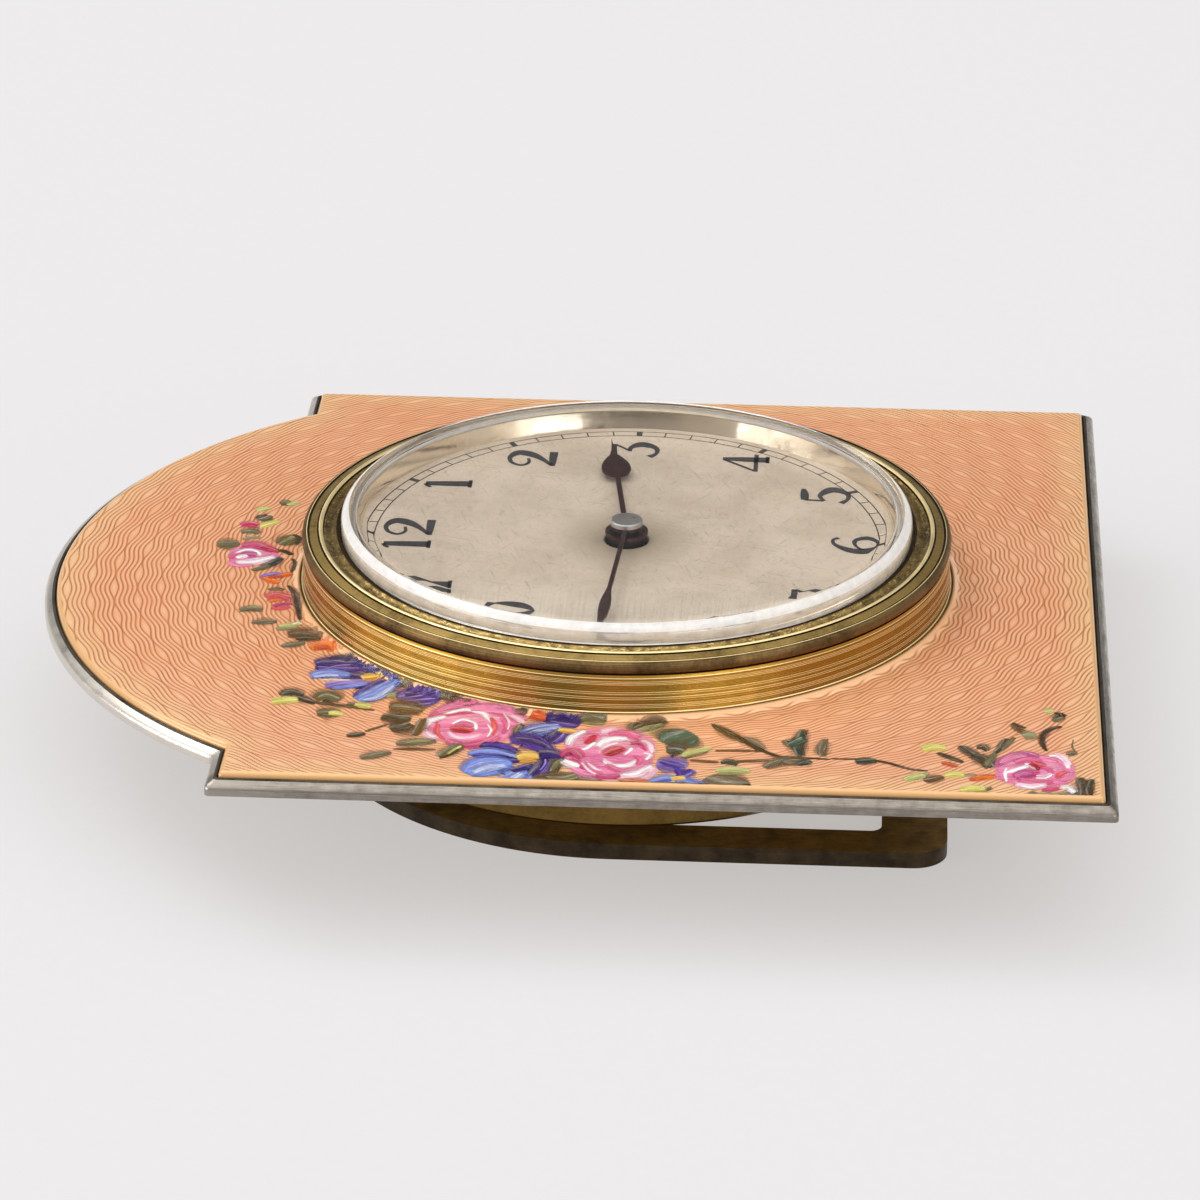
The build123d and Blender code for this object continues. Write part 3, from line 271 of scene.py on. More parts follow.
def outline(inset, corner=0.35, arc_steps=96, corner_steps=5):
    """Points of the plate's outline, drawn in by an inset and softened at its corners."""
    rise = ARCH_TOP - SHOULDER
    radius = (ARCH_HALF ** 2 + rise ** 2) / (2 * rise)
    middle = ARCH_TOP - radius
    half, foot, shoulder = PLATE_HALF - inset, PLATE_FOOT + inset, SHOULDER - inset
    chord = math.sqrt((radius - inset) ** 2 - (shoulder - middle) ** 2)
    start = math.atan2(shoulder - middle, chord)
    points = []
    for step in range(arc_steps + 1):
        turn = start + (math.pi - 2 * start) * step / arc_steps
        points.append(((radius - inset) * math.cos(turn), middle + (radius - inset) * math.sin(turn)))
    corners = [
        (-half, shoulder, 1, 0, 0, -1),
        (-half, foot, 0, 1, 1, 0),
        (half, foot, -1, 0, 0, 1),
        (half, shoulder, 0, -1, -1, 0),
    ]
    for px, py, ax, ay, bx, by in corners:
        size = max(corner - inset * 0.1, 0.12)
        center = Vector((px + (ax + bx) * size, py + (ay + by) * size))
        for step in range(corner_steps + 1):
            turn = math.pi / 2 * step / corner_steps
            spot = center - size * (math.cos(turn) * Vector((bx, by)) + math.sin(turn) * Vector((ax, ay)))
            points.append((spot.x, spot.y))
    return points


def plate_piece(name, stations, top_hole, bottom_hole, mats, indices, **more):
    """A piece lofted through outlines at (inset, height), closed to round holes above and below."""
    verts, faces, places = [], [], []
    rings = []
    for inset, height in stations:
        ring = outline(inset)
        rings.append(range(len(verts), len(verts) + len(ring)))
        verts += [(x, y, height) for x, y in ring]
    count = len(rings[0])
    for place in range(len(rings) - 1):
        a, b = rings[place], rings[place + 1]
        for step in range(count):
            after = (step + 1) % count
            faces.append([a[step], a[after], b[after], b[step]])
            places.append(indices[place])
    mesh = bmesh.new()
    for v in verts:
        mesh.verts.new(v)
    mesh.verts.ensure_lookup_table()
    for face in faces:
        mesh.faces.new([mesh.verts[i] for i in face])
    holes = []
    for ring, (radius, height) in ((rings[0], bottom_hole), (rings[-1], top_hole)):
        circle = []
        for i in range(ROUND):
            turn = 2 * math.pi * i / ROUND
            circle.append(mesh.verts.new((*around(radius, turn), height)))
        edges = [mesh.edges.new((circle[i], circle[(i + 1) % ROUND])) for i in range(ROUND)]
        holes.append(circle)
        mesh.verts.ensure_lookup_table()
        for i in range(count):
            edges.append(mesh.edges.get((mesh.verts[ring[i]], mesh.verts[ring[(i + 1) % count]])))
        before = len(mesh.faces)
        bmesh.ops.triangle_fill(mesh, edges=edges, use_beauty=True)
        places += [indices[-1]] * (len(mesh.faces) - before)
    for i in range(ROUND):
        after = (i + 1) % ROUND
        mesh.faces.new((holes[0][i], holes[0][after], holes[1][after], holes[1][i]))
        places.append(indices[-1])
    mesh.verts.index_update()
    all_verts = [tuple(v.co) for v in mesh.verts]
    all_faces = [[v.index for v in f.verts] for f in mesh.faces]
    mesh.free()
    return make(name, all_verts, all_faces, "case", mats, indices=places, **more)


# Camera, fitted to the plate's corners and the bezel's circles

FOCAL, SENSOR, PHOTO_SIDE = 162.03, 36.0, 1200
TARGET = row(-4.05, 1.64, ENAMEL)
DISTANCE = 379.8 * MM
AZIMUTH, ELEVATION, ROLL = math.radians(3.153), math.radians(24.501), math.radians(0.285)
back = Vector(
    (
        -math.cos(ELEVATION) * math.cos(AZIMUTH), -math.cos(ELEVATION) * math.sin(AZIMUTH),
        math.sin(ELEVATION)
    )
)
right = (-back).cross(Vector((0, 0, 1))).normalized()
up = right.cross(-back)
side = right * math.cos(ROLL) + up * math.sin(ROLL)
top = up * math.cos(ROLL) - right * math.sin(ROLL)
camera = link("camera", bpy.data.cameras.new("camera"))
camera.data.lens = FOCAL
camera.data.sensor_width = SENSOR
camera.data.clip_start = 0.01
turned = Matrix((side, top, back)).transposed().to_4x4()
camera.matrix_world = Matrix.Translation(TARGET + back * DISTANCE) @ turned
bpy.context.scene.camera = camera


def on_enamel(px, py):
    """Where the fitted camera sees a pixel of the photo on the enamel, in mm from the dial axis."""
    eye = TARGET + back * DISTANCE
    way = side * (px - PHOTO_SIDE / 2) - top * (py - PHOTO_SIDE / 2) - back * (FOCAL / SENSOR * PHOTO_SIDE)
    spot = eye + way * ((ENAMEL * MM - eye.z) / way.z)
    return Vector((spot.x / MM, spot.y / MM - AXIS_Y))


# Floor and light

floor_mesh = bpy.data.meshes.new("floor")
floor_mesh.from_pydata([(-3, -3, 0), (3, -3, 0), (3, 3, 0), (-3, 3, 0)], [], [(0, 1, 2, 3)])
floor = link("floor", floor_mesh)
floor_mat = Mat("floor", rough=0.9, Specular_IOR_Level=0.0)
paper_grain, *_ = floor_mat.object_xyz()
paper_tone = floor_mat.noise(paper_grain, 0.8, 5.0, 0.7)
floor_mat.set("Base Color", floor_mat.mix(paper_tone, (0.585, 0.60, 0.645), (0.625, 0.64, 0.685)))
floor_ray = floor_mat.node("ShaderNodeLightPath")
floor_seen = floor_ray.outputs["Is Camera Ray"]
for ray in ("Is Glossy Ray", "Is Transmission Ray"):
    floor_seen = floor_mat.math("MAXIMUM", floor_seen, floor_ray.outputs[ray])
floor_glow = floor_mat.node("ShaderNodeEmission")
floor_mat.row(floor_glow, (0.885, 0.845, 0.81))
floor_mix = floor_mat.node("ShaderNodeMixShader")
floor_share = floor_mat.times(floor_seen, 0.52)
floor_mat.row(floor_mix, floor_share, floor_mat.shader.outputs[0], floor_glow.outputs[0])
floor_mat.put(floor_mat.tree.nodes["Material Output"].inputs[0], floor_mix.outputs[0])
floor_mesh.materials.append(floor_mat.mat)

world = bpy.data.worlds.new("studio")
bpy.context.scene.world = world
world.use_nodes = True
sky = Nodes(world.node_tree)
sky_split = sky.node("ShaderNodeSeparateXYZ")
sky.row(sky_split, sky.node("ShaderNodeTexCoord").outputs["Generated"])
sky_x, _, sky_z = sky_split.outputs
overhead = sky.times(sky.ramp(sky_z, 0.1, 0.95, 0.36, 1.65), sky.ramp(sky_x, 0.3, 0.85, 1.0, 0.1))
backdrop = sky.times(sky.ramp(sky_z, 0.08, 0.24, 0.8, 0.0), sky.ramp(sky_x, 0.1, 0.5, 0.0, 1.0))
sky.row(sky.tree.nodes["Background"], (1.0, 0.985, 0.97), sky.math("MAXIMUM", overhead, backdrop))


def lamp(name, place, aim, width, height, power):
    """A soft area lamp, placed in mm from the dial axis."""
    data = bpy.data.lights.new(name, "AREA")
    data.shape = "RECTANGLE"
    data.size, data.size_y = width * MM, height * MM
    data.energy = power
    made = link(name, data)
    made.location = row(*place)
    made.rotation_mode = "QUATERNION"
    made.rotation_quaternion = (row(*aim) - row(*place)).to_track_quat("-Z", "Y")


lamp("key", (420, 720, 1100), (0, 0, 10), 700, 700, 3.4)
lamp("left", (-310, 850, 190), (0, 0, 14), 900, 300, 4.4)
lamp("right", (-737, -516, 190), (0, 0, 14), 440, 300, 2.0)

bpy.context.scene.view_settings.view_transform = "Standard"

# Metals

SILVER = (0.70, 0.65, 0.58)
# The near tone is painted shade for the near side of the silver frame
SILVER_NEAR_SHADE, SILVER_DARK = (0.36, 0.325, 0.285), (0.13, 0.11, 0.088)
BRASS, BRASS_DARK = (0.76, 0.56, 0.24), (0.28, 0.18, 0.06)


def old_silver():
    """Silver, bright at the arch and streaked darker from the shoulders towards the foot, with painted shade
    on its near side.
    """
    made = Mat("silver", metallic=1.0)
    position, x, y, z = made.object_xyz()
    along = made.streaks((x, 0.5), (y, 0.5), (z, 16.0), detail=5.0, rough=0.7)
    blot = made.noise(position, 0.9, 5.0, 0.65)
    foot = made.ramp(y, 26.0, 20.0, 0.1, 0.75)
    streaked_darker = made.times(made.ramp(made.plus(along, made.times(blot, 0.7)), 0.6, 1.05), foot)
    # Painted shade: the near side of the frame turns to the darker near tone
    tone = made.mix(made.ramp(x, -32.0, -32.8), SILVER, SILVER_NEAR_SHADE)
    made.set("Base Color", made.mix(streaked_darker, tone, SILVER_DARK))
    made.set("Roughness", made.ramp(blot, 0.3, 0.7, 0.24, 0.42))
    made.bump(along, 0.12, 0.02)
    return made.mat


silver = old_silver()
silver_grime = metal(
    "silver_grime", (0.10, 0.09, 0.075), (0.02, 0.018, 0.015), 0.5, 14, patina=0.8, lathe=False
)
gilt = metal(
    "gilt", (0.50, 0.285, 0.046), (0.23, 0.12, 0.017), 0.27, 16, patina=0.4, bump=0.5, scratches=0.5
)
# Painted shade: a dark copy of the gilt for the drum and back cover, which lie in shadow under the plate
gilt_painted_shade = metal(
    "gilt_painted_shade", (0.24, 0.145, 0.038), (0.07, 0.042, 0.014), 0.34, 12, patina=0.7, scratches=0.4
)
# Painted highlight: a pale copy of the gilt for the raised beads and ridge tops of the bezel
gilt_painted_highlight = metal(
    "gilt_painted_highlight", (0.98, 0.82, 0.47), (0.70, 0.50, 0.20), 0.42, 10, patina=0.15, scratches=0.2
)
gilt_olive = metal(
    "gilt_olive", (0.54, 0.37, 0.12), (0.12, 0.08, 0.028), 0.42, 14, patina=0.85, scratches=0.6
)
tarnish = metal(
    "tarnish", (0.24, 0.150, 0.058), (0.045, 0.028, 0.013), 0.45, 10, patina=0.8, bump=0.3, scratches=0.5
)
grime = metal("grime", (0.05, 0.030, 0.012), (0.012, 0.008, 0.004), 0.6, 10, patina=0.8, scratches=0.4)
rehaut_gilt = metal(
    "rehaut_gilt", (0.97, 0.87, 0.72), (0.74, 0.58, 0.38), 0.07, 6, patina=0.2, bump=0.04, scratches=0.1
)


def scratched_metal():
    """Dark old gilt scored by many short bright scratches."""
    made = Mat("scratched_gilt", metallic=1.0, rough=0.36)
    position, *_ = made.object_xyz()
    radius, angle, _ = made.polar()
    warp = made.times(made.noise(position, 0.9, 3.0, 0.6), 9.0)
    score = made.noise(
        made.vector(made.plus(made.times(radius, 7.0), warp), made.times(angle, 26.0), warp), 1.0, 3.0, 0.6
    )
    blot = made.noise(position, 1.1, 4.0, 0.65)
    tone = made.mix(made.ramp(blot, 0.35, 0.65), (0.40, 0.27, 0.09), (0.11, 0.07, 0.025))
    made.set("Base Color", made.mix(made.ramp(score, 0.54, 0.65, 0.0, 0.85), tone, (0.78, 0.58, 0.25)))
    made.bump(score, 0.4, 0.03)
    return made.mat


scratched = scratched_metal()


def old_brass():
    """Brass gone brown, with painted light and shade: golden on faces that look up, as if lit, and nearly
    black on its sides, as shade.
    """
    made = Mat("dark_brass", metallic=0.85)
    position, x, y, z = made.object_xyz()
    facing = made.node("ShaderNodeSeparateXYZ")
    made.put(facing.inputs[0], made.node("ShaderNodeTexCoord").outputs["Normal"])
    lines = made.streaks((x, 6.0), (y, 0.4), (z, 6.0))
    blot = made.noise(position, 0.5, 5.0, 0.65)
    # Painted light and shade by facing: upward faces get a lit golden tone, the sides a near-black shaded one
    face = made.mix(made.ramp(blot, 0.4, 0.7), (0.40, 0.235, 0.045), (0.15, 0.085, 0.022))
    edge = made.mix(made.ramp(blot, 0.35, 0.65), (0.075, 0.050, 0.026), (0.024, 0.017, 0.011))
    tone = made.mix(made.ramp(made.math("ABSOLUTE", facing.outputs["Z"]), 0.3, 0.8), edge, face)
    made.set("Base Color", made.mix(made.ramp(lines, 0.4, 0.7, 0.0, 0.4), tone, (0.03, 0.02, 0.01)))
    made.set("Roughness", made.ramp(blot, 0.3, 0.7, 0.4, 0.58))
    made.bump(lines, 0.2, 0.02)
    return made.mat


dark_brass = old_brass()
brass = metal("brass", BRASS, BRASS_DARK, 0.30, 9, patina=0.3, lathe=False, scratches=0.35)
steel = metal(
    "steel", (0.56, 0.56, 0.57), (0.20, 0.20, 0.20), 0.26, 12, patina=0.2, lathe=False, scratches=0.3
)
blued = metal(
    "blued_steel", (0.10, 0.040, 0.044), (0.036, 0.016, 0.020), 0.30, 12, patina=0.5, lathe=False,
    scratches=0.25
)
oxide = metal(
    "black_oxide", (0.035, 0.035, 0.042), (0.012, 0.012, 0.014), 0.34, 12, patina=0.5, scratches=0.25
)
ruby = Mat("ruby", color=(0.45, 0.01, 0.04), rough=0.08, Transmission_Weight=0.4, IOR=1.76)
ruby.mottle((0.52, 0.01, 0.05), (0.30, 0.0, 0.03), 4.0, 0.35, 0.65)
ruby = ruby.mat

# Enamel over engine turning: bundles of wavy rings about the dial axis, each bundle half a wave off the last

WAVES = 48
WAVE_TURN = math.radians(144)
WAVE_HEIGHT = 0.15
BUNDLE = 1.65
FIRST_BUNDLE = 30.46
SPACING = 0.33
ROSE_BASE, ROSE_DEEP = (0.82, 0.325, 0.14), (0.40, 0.115, 0.032)
ROSE_PALE, CREAM = (0.92, 0.50, 0.27), (0.86, 0.56, 0.26)
FAR_FROM_EDGE = 12.0


def enamel_material():
    """Rose enamel, darker in the cuts below it and pale at its borders, with painted highlights on the ridges
    and eyes, a painted sheen towards the near side and painted shade on its rolled edge.
    """
    made = Mat("enamel", rough=0.34, Coat_Weight=0.7, Coat_Roughness=0.05, Specular_IOR_Level=0.3)
    position, x, *_ = made.object_xyz()
    radius, angle, _ = made.polar()
    turn = made.minus(made.times(angle, float(WAVES)), WAVE_TURN)
    wave = made.times(made.math("COSINE", turn), WAVE_HEIGHT)
    runs = []
    for operation, offset in (("ADD", FIRST_BUNDLE), ("SUBTRACT", FIRST_BUNDLE + BUNDLE)):
        shifted = made.minus(made.math(operation, radius, wave), offset)
        runs.append(made.math("ABSOLUTE", made.math("WRAP", shifted, BUNDLE, -BUNDLE)))
    across = made.math("MINIMUM", *runs)
    inside = made.ramp(across, 2.35 * SPACING, 2.6 * SPACING, 1.0, 0.0)
    groove = made.math("COSINE", made.times(across, 2 * math.pi / SPACING))
    cut = made.times(made.ramp(groove, 0.25, 0.95), inside)
    # Painted highlights: the ridge beside each cut and the eyes between bundles are lightened as the metal
    # under the enamel would shine
    eye = made.minus(1.0, made.ramp(across, 2.2 * SPACING, 2.9 * SPACING, 1.0, 0.0))
    lit = made.math("MAXIMUM", made.times(made.ramp(groove, -0.1, -0.95), inside), eye)
    edge = made.node("ShaderNodeAttribute", attribute_name="edge").outputs["Fac"]
    cloud = made.noise(position, 0.09, 3.0, 0.5)
    uneven = made.noise(position, 0.7, 4.0, 0.6)
    base = made.mix(made.ramp(cloud, 0.35, 0.65, 0.0, 0.35), ROSE_BASE, ROSE_PALE)
    base = made.mix(made.ramp(uneven, 0.3, 0.7, 0.0, 0.2), base, ROSE_PALE)
    # Painted sheen: the enamel turns paler towards the near side
    base = made.mix(made.ramp(x, -16.0, -32.0, 0.0, 0.4), base, (0.86, 0.48, 0.31))
    border = made.math(
        "MAXIMUM", made.ramp(edge, 1.0, 4.0, 0.7, 0.0), made.ramp(radius, 23.4, 24.2, 0.5, 0.0)
    )
    base = made.mix(border, base, CREAM)
    worn = made.ramp(uneven, 0.25, 0.75, 0.5, 1.0)
    plain = made.math(
        "MAXIMUM", made.ramp(edge, 1.14, 1.26, 1.0, 0.0), made.ramp(radius, 23.42, 23.55, 1.0, 0.0)
    )
    open_field = made.times(worn, made.minus(1.0, plain))
    tone = made.mix(made.times(made.times(cut, open_field), 0.9), base, ROSE_DEEP)
    # The painted highlight colour laid on the ridges and eyes
    tone = made.mix(made.times(made.times(lit, open_field), 0.6), tone, (0.98, 0.69, 0.47))
    # Painted shade on the enamel's rolled edge, where it slopes down to the frame
    tone = made.mix(made.ramp(edge, 0.85, 1.2, 0.8, 0.0), tone, (0.40, 0.20, 0.055))
    tone = made.mix(made.ramp(radius, 23.14, 23.34, 0.9, 0.0), tone, (0.16, 0.085, 0.028))
    made.set("Base Color", tone)
    made.set("Metallic", 0.15)
    made.bump(made.times(cut, open_field), 0.6, -0.06)
    return made.mat


enamel = enamel_material()
enamel_stations = [
    (0.85, TRAY), (0.85, ENAMEL - 0.4), (0.87, ENAMEL - 0.28), (0.92, ENAMEL - 0.16), (1.0, ENAMEL - 0.06),
    (1.12, ENAMEL - 0.01), (1.25, ENAMEL),
]
enamel_stations += [
    (1.75, ENAMEL), (2.1, ENAMEL), (2.6, ENAMEL), (3.4, ENAMEL), (5.0, ENAMEL), (7.0, ENAMEL),
]
panel = plate_piece(
    "enamel_plate", enamel_stations, (PLATE_HOLE, ENAMEL), (PLATE_HOLE, TRAY), [enamel],
    [0] * len(enamel_stations), replaced=["enamel_panel"], slot="enamel", sharp=40
)
edge = panel.data.attributes.new("edge", "FLOAT", "POINT")
insets = [inset for inset, _ in enamel_stations for _ in outline(0)]
insets += [FAR_FROM_EDGE] * (len(panel.data.vertices) - len(insets))
edge.data.foreach_set("value", insets)

enamel_lip = [
    (23.11, ENAMEL, 0), (23.12, ENAMEL + 0.30, 0), (23.17, ENAMEL + 0.35, 0), (23.26, ENAMEL + 0.34, 0),
    (23.38, ENAMEL + 0.22, 0), (23.52, ENAMEL + 0.08, 0),
]
enamel_lip += [(23.7, ENAMEL + 0.004, 0), (23.7, ENAMEL, 0)]
lip = lathe("enamel_lip", enamel_lip, "case", [enamel], slot="enamel", sharp=60)
lip_edge = lip.data.attributes.new("edge", "FLOAT", "POINT")
lip_edge.data.foreach_set("value", [FAR_FROM_EDGE] * len(lip.data.vertices))

# Silver frame: bevel, bright edge line and a dark line of grime against the enamel
frame_stations = [
    (0.0, FRAME_BACK), (0.0, RIM - 0.62), (0.02, RIM - 0.5), (0.08, RIM - 0.4), (0.18, RIM - 0.29),
    (0.34, RIM - 0.2), (0.54, RIM - 0.08), (0.66, RIM - 0.02),
]
frame_stations += [(0.71, RIM), (0.76, RIM - 0.04), (0.8, RIM - 0.14), (0.8, TRAY)]
plate_piece(
    "silver_tray", frame_stations, (PLATE_HOLE, TRAY), (PLATE_HOLE, FRAME_BACK), [silver, silver_grime],
    [0] * 6 + [1, 1, 1, 1, 1, 0], replaced=["silver_frame"], slot="silver", sharp=60
)

# Bezel: tapered wall with turned lines, tarnished band, ridge, scratched groove and lip
# Its runs name their metal by place: 0 gilt, 1 painted highlight, 2 tarnish, 3 olive, 4 grime, 5 scratched
LIP_BORE, LIP_BACK, BEZEL_BORE = 20.2, ENAMEL + 3.38, 21.05


def wall(height):
    """Radius of the tapered wall at a height above the enamel."""
    return 22.98 - 0.075 * (height - 0.2)


bezel_profile = [
    (LIP_BORE, LIP_BACK, 0), (BEZEL_BORE, LIP_BACK, 0), (BEZEL_BORE, ENAMEL, 0), (23.05, ENAMEL, 4),
    (23.09, ENAMEL + 0.04, 0), (23.08, ENAMEL + 0.28, 0),
]
turned_lines = [
    (0.36, 0.055, 0.05), (1.68, 0.04, 0.022), (2.12, 0.025, 0.014), (2.46, 0.028, 0.016),
    (2.78, 0.032, 0.018),
]
for step in range(21):
    height = 0.5 + 0.115 * step + random.uniform(-0.03, 0.03)
    turned_lines.append((height, 0.012, random.choice((-0.012, 0.006, 0.008))))
for height, half, proud in sorted(turned_lines):
    if ENAMEL + height - half > bezel_profile[-1][1] + 0.01:
        # Raised beads take the painted highlight, cut lines the grime
        place = 1 if proud > 0 else 4
        bezel_profile.append((wall(height), ENAMEL + height - half, place))
        bezel_profile.append((wall(height) + proud, ENAMEL + height, place))
        bezel_profile.append((wall(height), ENAMEL + height + half, 0))
bezel_profile += [
    (wall(3.0), ENAMEL + 3.01, 4), (wall(3.0) - 0.13, ENAMEL + 3.03, 4),
    (wall(3.0) - 0.13, ENAMEL + 3.1, 2),
]
for step in range(13):
    turn = -0.5 * math.pi + math.pi * step / 12
    bezel_profile.append((22.68 + 0.25 * math.cos(turn), ENAMEL + 3.52 + 0.40 * math.sin(turn), 2))
bezel_profile += [
    (22.62, ENAMEL + 3.96, 1), (22.56, ENAMEL + 3.975, 4), (22.5, ENAMEL + 3.9, 4),
    (22.4, ENAMEL + 3.93, 3), (21.86, ENAMEL + 4.1, 4), (21.78, ENAMEL + 4.08, 4),
]
bezel_profile += [
    (21.74, ENAMEL + 4.18, 1), (21.64, ENAMEL + 4.235, 1), (21.52, ENAMEL + 4.22, 1),
    (21.45, ENAMEL + 4.13, 4), (21.38, ENAMEL + 4.0, 5),
]
for step in range(1, 7):
    share = step / 6
    bezel_profile.append((21.38 - 0.72 * share, ENAMEL + 4.0 - 0.12 * math.sin(math.pi * share), 5))
bezel_profile += [
    (20.6, ENAMEL + 4.04, 5), (20.5, ENAMEL + 4.07, 4), (LIP_BORE + 0.05, ENAMEL + 4.07, 4),
    (LIP_BORE, ENAMEL + 4.0, 4),
]
lathe(
    "bezel_ring", bezel_profile, "case", [gilt, gilt_painted_highlight, tarnish, gilt_olive, grime, scratched],
    replaced=["bezel"], slot="gilt", sharp=28
)

# Crystal: domed glass, hollow behind; its shoulder painted pale for the band of light trapped in the glass,
# its edge wall painted tan for the bezel's reflection
glass = Mat("glass", color=(1, 1, 1), rough=0.0, Transmission_Weight=1.0, IOR=1.5)
# Painted light: a pale, partly clear glass on the shoulder stands for the bright band of light trapped in the
# thick glass
glass_shoulder_painted_light = Mat("glass_shoulder_painted_light", rough=0.2, Transmission_Weight=0.25, IOR=1.5)
glass_shoulder_painted_light.mottle((0.84, 0.83, 0.81), (0.68, 0.66, 0.64), 1.6, 0.35, 0.75, 5.0, 0.7)
# Painted reflection: a warm tan on the edge wall stands for the gilt bezel seen in it
glass_wall_painted_reflection = Mat("glass_wall_painted_reflection", rough=0.12, Transmission_Weight=0.55, IOR=1.5)
glass_wall_painted_reflection.mottle((0.80, 0.73, 0.64), (0.60, 0.52, 0.43), 1.1, 0.3, 0.7, 4.0, 0.6)
CROWN, WALL_TOP, GLASS_RADIUS = SEAT + 2.35, SEAT + 0.85, 20.17
SHOULDER_RADIUS, SHOULDER_HEIGHT = 19.6, SEAT + 1.5
HOLLOW_TOP, HOLLOW_RADIUS, HOLLOW_EDGE = SEAT + 1.3, 18.9, SEAT + 0.8
crystal_profile = [(0.0, CROWN, 0)]
for step in range(1, 33):
    share = step / 32
    crystal_profile.append((SHOULDER_RADIUS * share, CROWN - (CROWN - SHOULDER_HEIGHT) * share ** 2, 0))
crystal_profile[-1] = (*crystal_profile[-1][:2], 1)
crystal_profile += [
    (19.72, SHOULDER_HEIGHT - 0.04, 1), (19.98, WALL_TOP + 0.34, 1), (20.1, WALL_TOP + 0.16, 2),
    (20.15, WALL_TOP + 0.05, 2), (GLASS_RADIUS, WALL_TOP - 0.08, 2),
]
crystal_profile += [
    (GLASS_RADIUS, SEAT + 0.08, 0), (20.11, SEAT + 0.02, 0), (19.3, SEAT + 0.02, 0), (19.22, SEAT + 0.1, 0),
    (19.1, HOLLOW_EDGE - 0.15, 0), (19.02, HOLLOW_EDGE - 0.04, 0), (HOLLOW_RADIUS, HOLLOW_EDGE, 0),
]
for step in range(1, 33):
    share = 1 - step / 32
    crystal_profile.append((HOLLOW_RADIUS * share, HOLLOW_TOP - (HOLLOW_TOP - HOLLOW_EDGE) * share ** 2, 0))
crystal = lathe(
    "crystal_glass", crystal_profile, "case", [glass.mat, glass_shoulder_painted_light.mat, glass_wall_painted_reflection.mat], closed=False,
    replaced=["crystal"], slot="glass", sharp=50
)
crystal.visible_shadow = False
crystal.visible_diffuse = False

# Dial: silvered plate, stained round the middle, printed numerals and minute track


def dial_material():
    """Silvering, brushed, stained and scratched."""
    made = Mat("silvered_dial", metallic=0.12, rough=0.45)
    position, x, y, _ = made.object_xyz()
    radius, _, _ = made.polar()
    brush = made.noise(made.vector(made.times(x, 0.12), made.times(y, 9.0), 0.0), 1.0, 5.0, 0.7)
    stain = made.noise(position, 0.16, 6.0, 0.65, 0.3)
    fine = made.noise(position, 2.4, 4.0, 0.7)
    tone = made.mix(made.ramp(stain, 0.36, 0.62), (0.67, 0.56, 0.44), (0.53, 0.43, 0.325))
    tone = made.mix(made.ramp(brush, 0.3, 0.7, 0.0, 0.22), tone, (0.78, 0.70, 0.58))
    halo = made.ramp(made.plus(radius, made.times(stain, 6.0)), 4.2, 8.2, 0.7, 0.0)
    tone = made.mix(halo, tone, (0.22, 0.165, 0.10))
    tone = made.mix(made.ramp(fine, 0.60, 0.68, 0.0, 0.5), tone, (0.30, 0.23, 0.15))
    for turn, length in ((0.35, 0.5), (-0.6, 0.7), (1.3, 0.4)):
        along = made.plus(made.times(x, math.cos(turn)), made.times(y, math.sin(turn)))
        over = made.minus(made.times(y, math.cos(turn)), made.times(x, math.sin(turn)))
        score = made.noise(
            made.vector(made.times(along, length), made.times(over, 9.0), turn), 1.0, 2.0, 0.5
        )
        tone = made.mix(made.ramp(score, 0.645, 0.70, 0.0, 0.5), tone, (0.34, 0.27, 0.19))
    # Lighter streaks over the near part of the dial
    near_streak_band = made.times(made.ramp(x, -7.0, -10.5), made.ramp(x, -15.5, -12.5))
    smear = made.noise(made.vector(made.times(x, 0.1), made.times(y, 5.0), 4.0), 1.0, 4.0, 0.7)
    tone = made.mix(made.times(near_streak_band, made.ramp(smear, 0.4, 0.65, 0.0, 0.5)), tone, (0.82, 0.75, 0.64))
    made.set("Base Color", tone)
    made.set("Roughness", made.ramp(brush, 0.2, 0.8, 0.36, 0.5))
    made.bump(brush, 0.12, 0.02)
    return made.mat


silvered = dial_material()
dial_profile = [
    (1.55, DIAL - 0.5, 0), (19.8, DIAL - 0.5, 0), (19.8, DIAL, 0), (1.62, DIAL, 0), (1.55, DIAL - 0.06, 0),
]
lathe("dial_plate", dial_profile, "case", [silvered], replaced=["dial"], slot="silvered_dial")

ink = Mat("ink", rough=0.5)
ink.mottle((0.008, 0.009, 0.016), (0.045, 0.042, 0.045), 5.0, 0.45, 0.7, 4.0, 0.7, most=0.5)
INK_HEIGHT = 0.012


def between(a, b, c, d, t):
    """A value on a smooth run from b to c, coming from a and going on to d."""
    start = 2 * b + (c - a) * t
    return 0.5 * (start + (2 * a - 5 * b + 4 * c - d) * t * t + (3 * b - a - 3 * c + d) * t ** 3)


def curve(line, steps):
    """Points of a smooth curve through the given ones."""
    made = []
    for i in range(len(line) - 1):
        near = [line[max(i - 1, 0)], line[i], line[i + 1], line[min(i + 2, len(line) - 1)]]
        for step in range(steps + (i == len(line) - 2)):
            made.append([between(*values, step / steps) for values in zip(*near)])
    return made


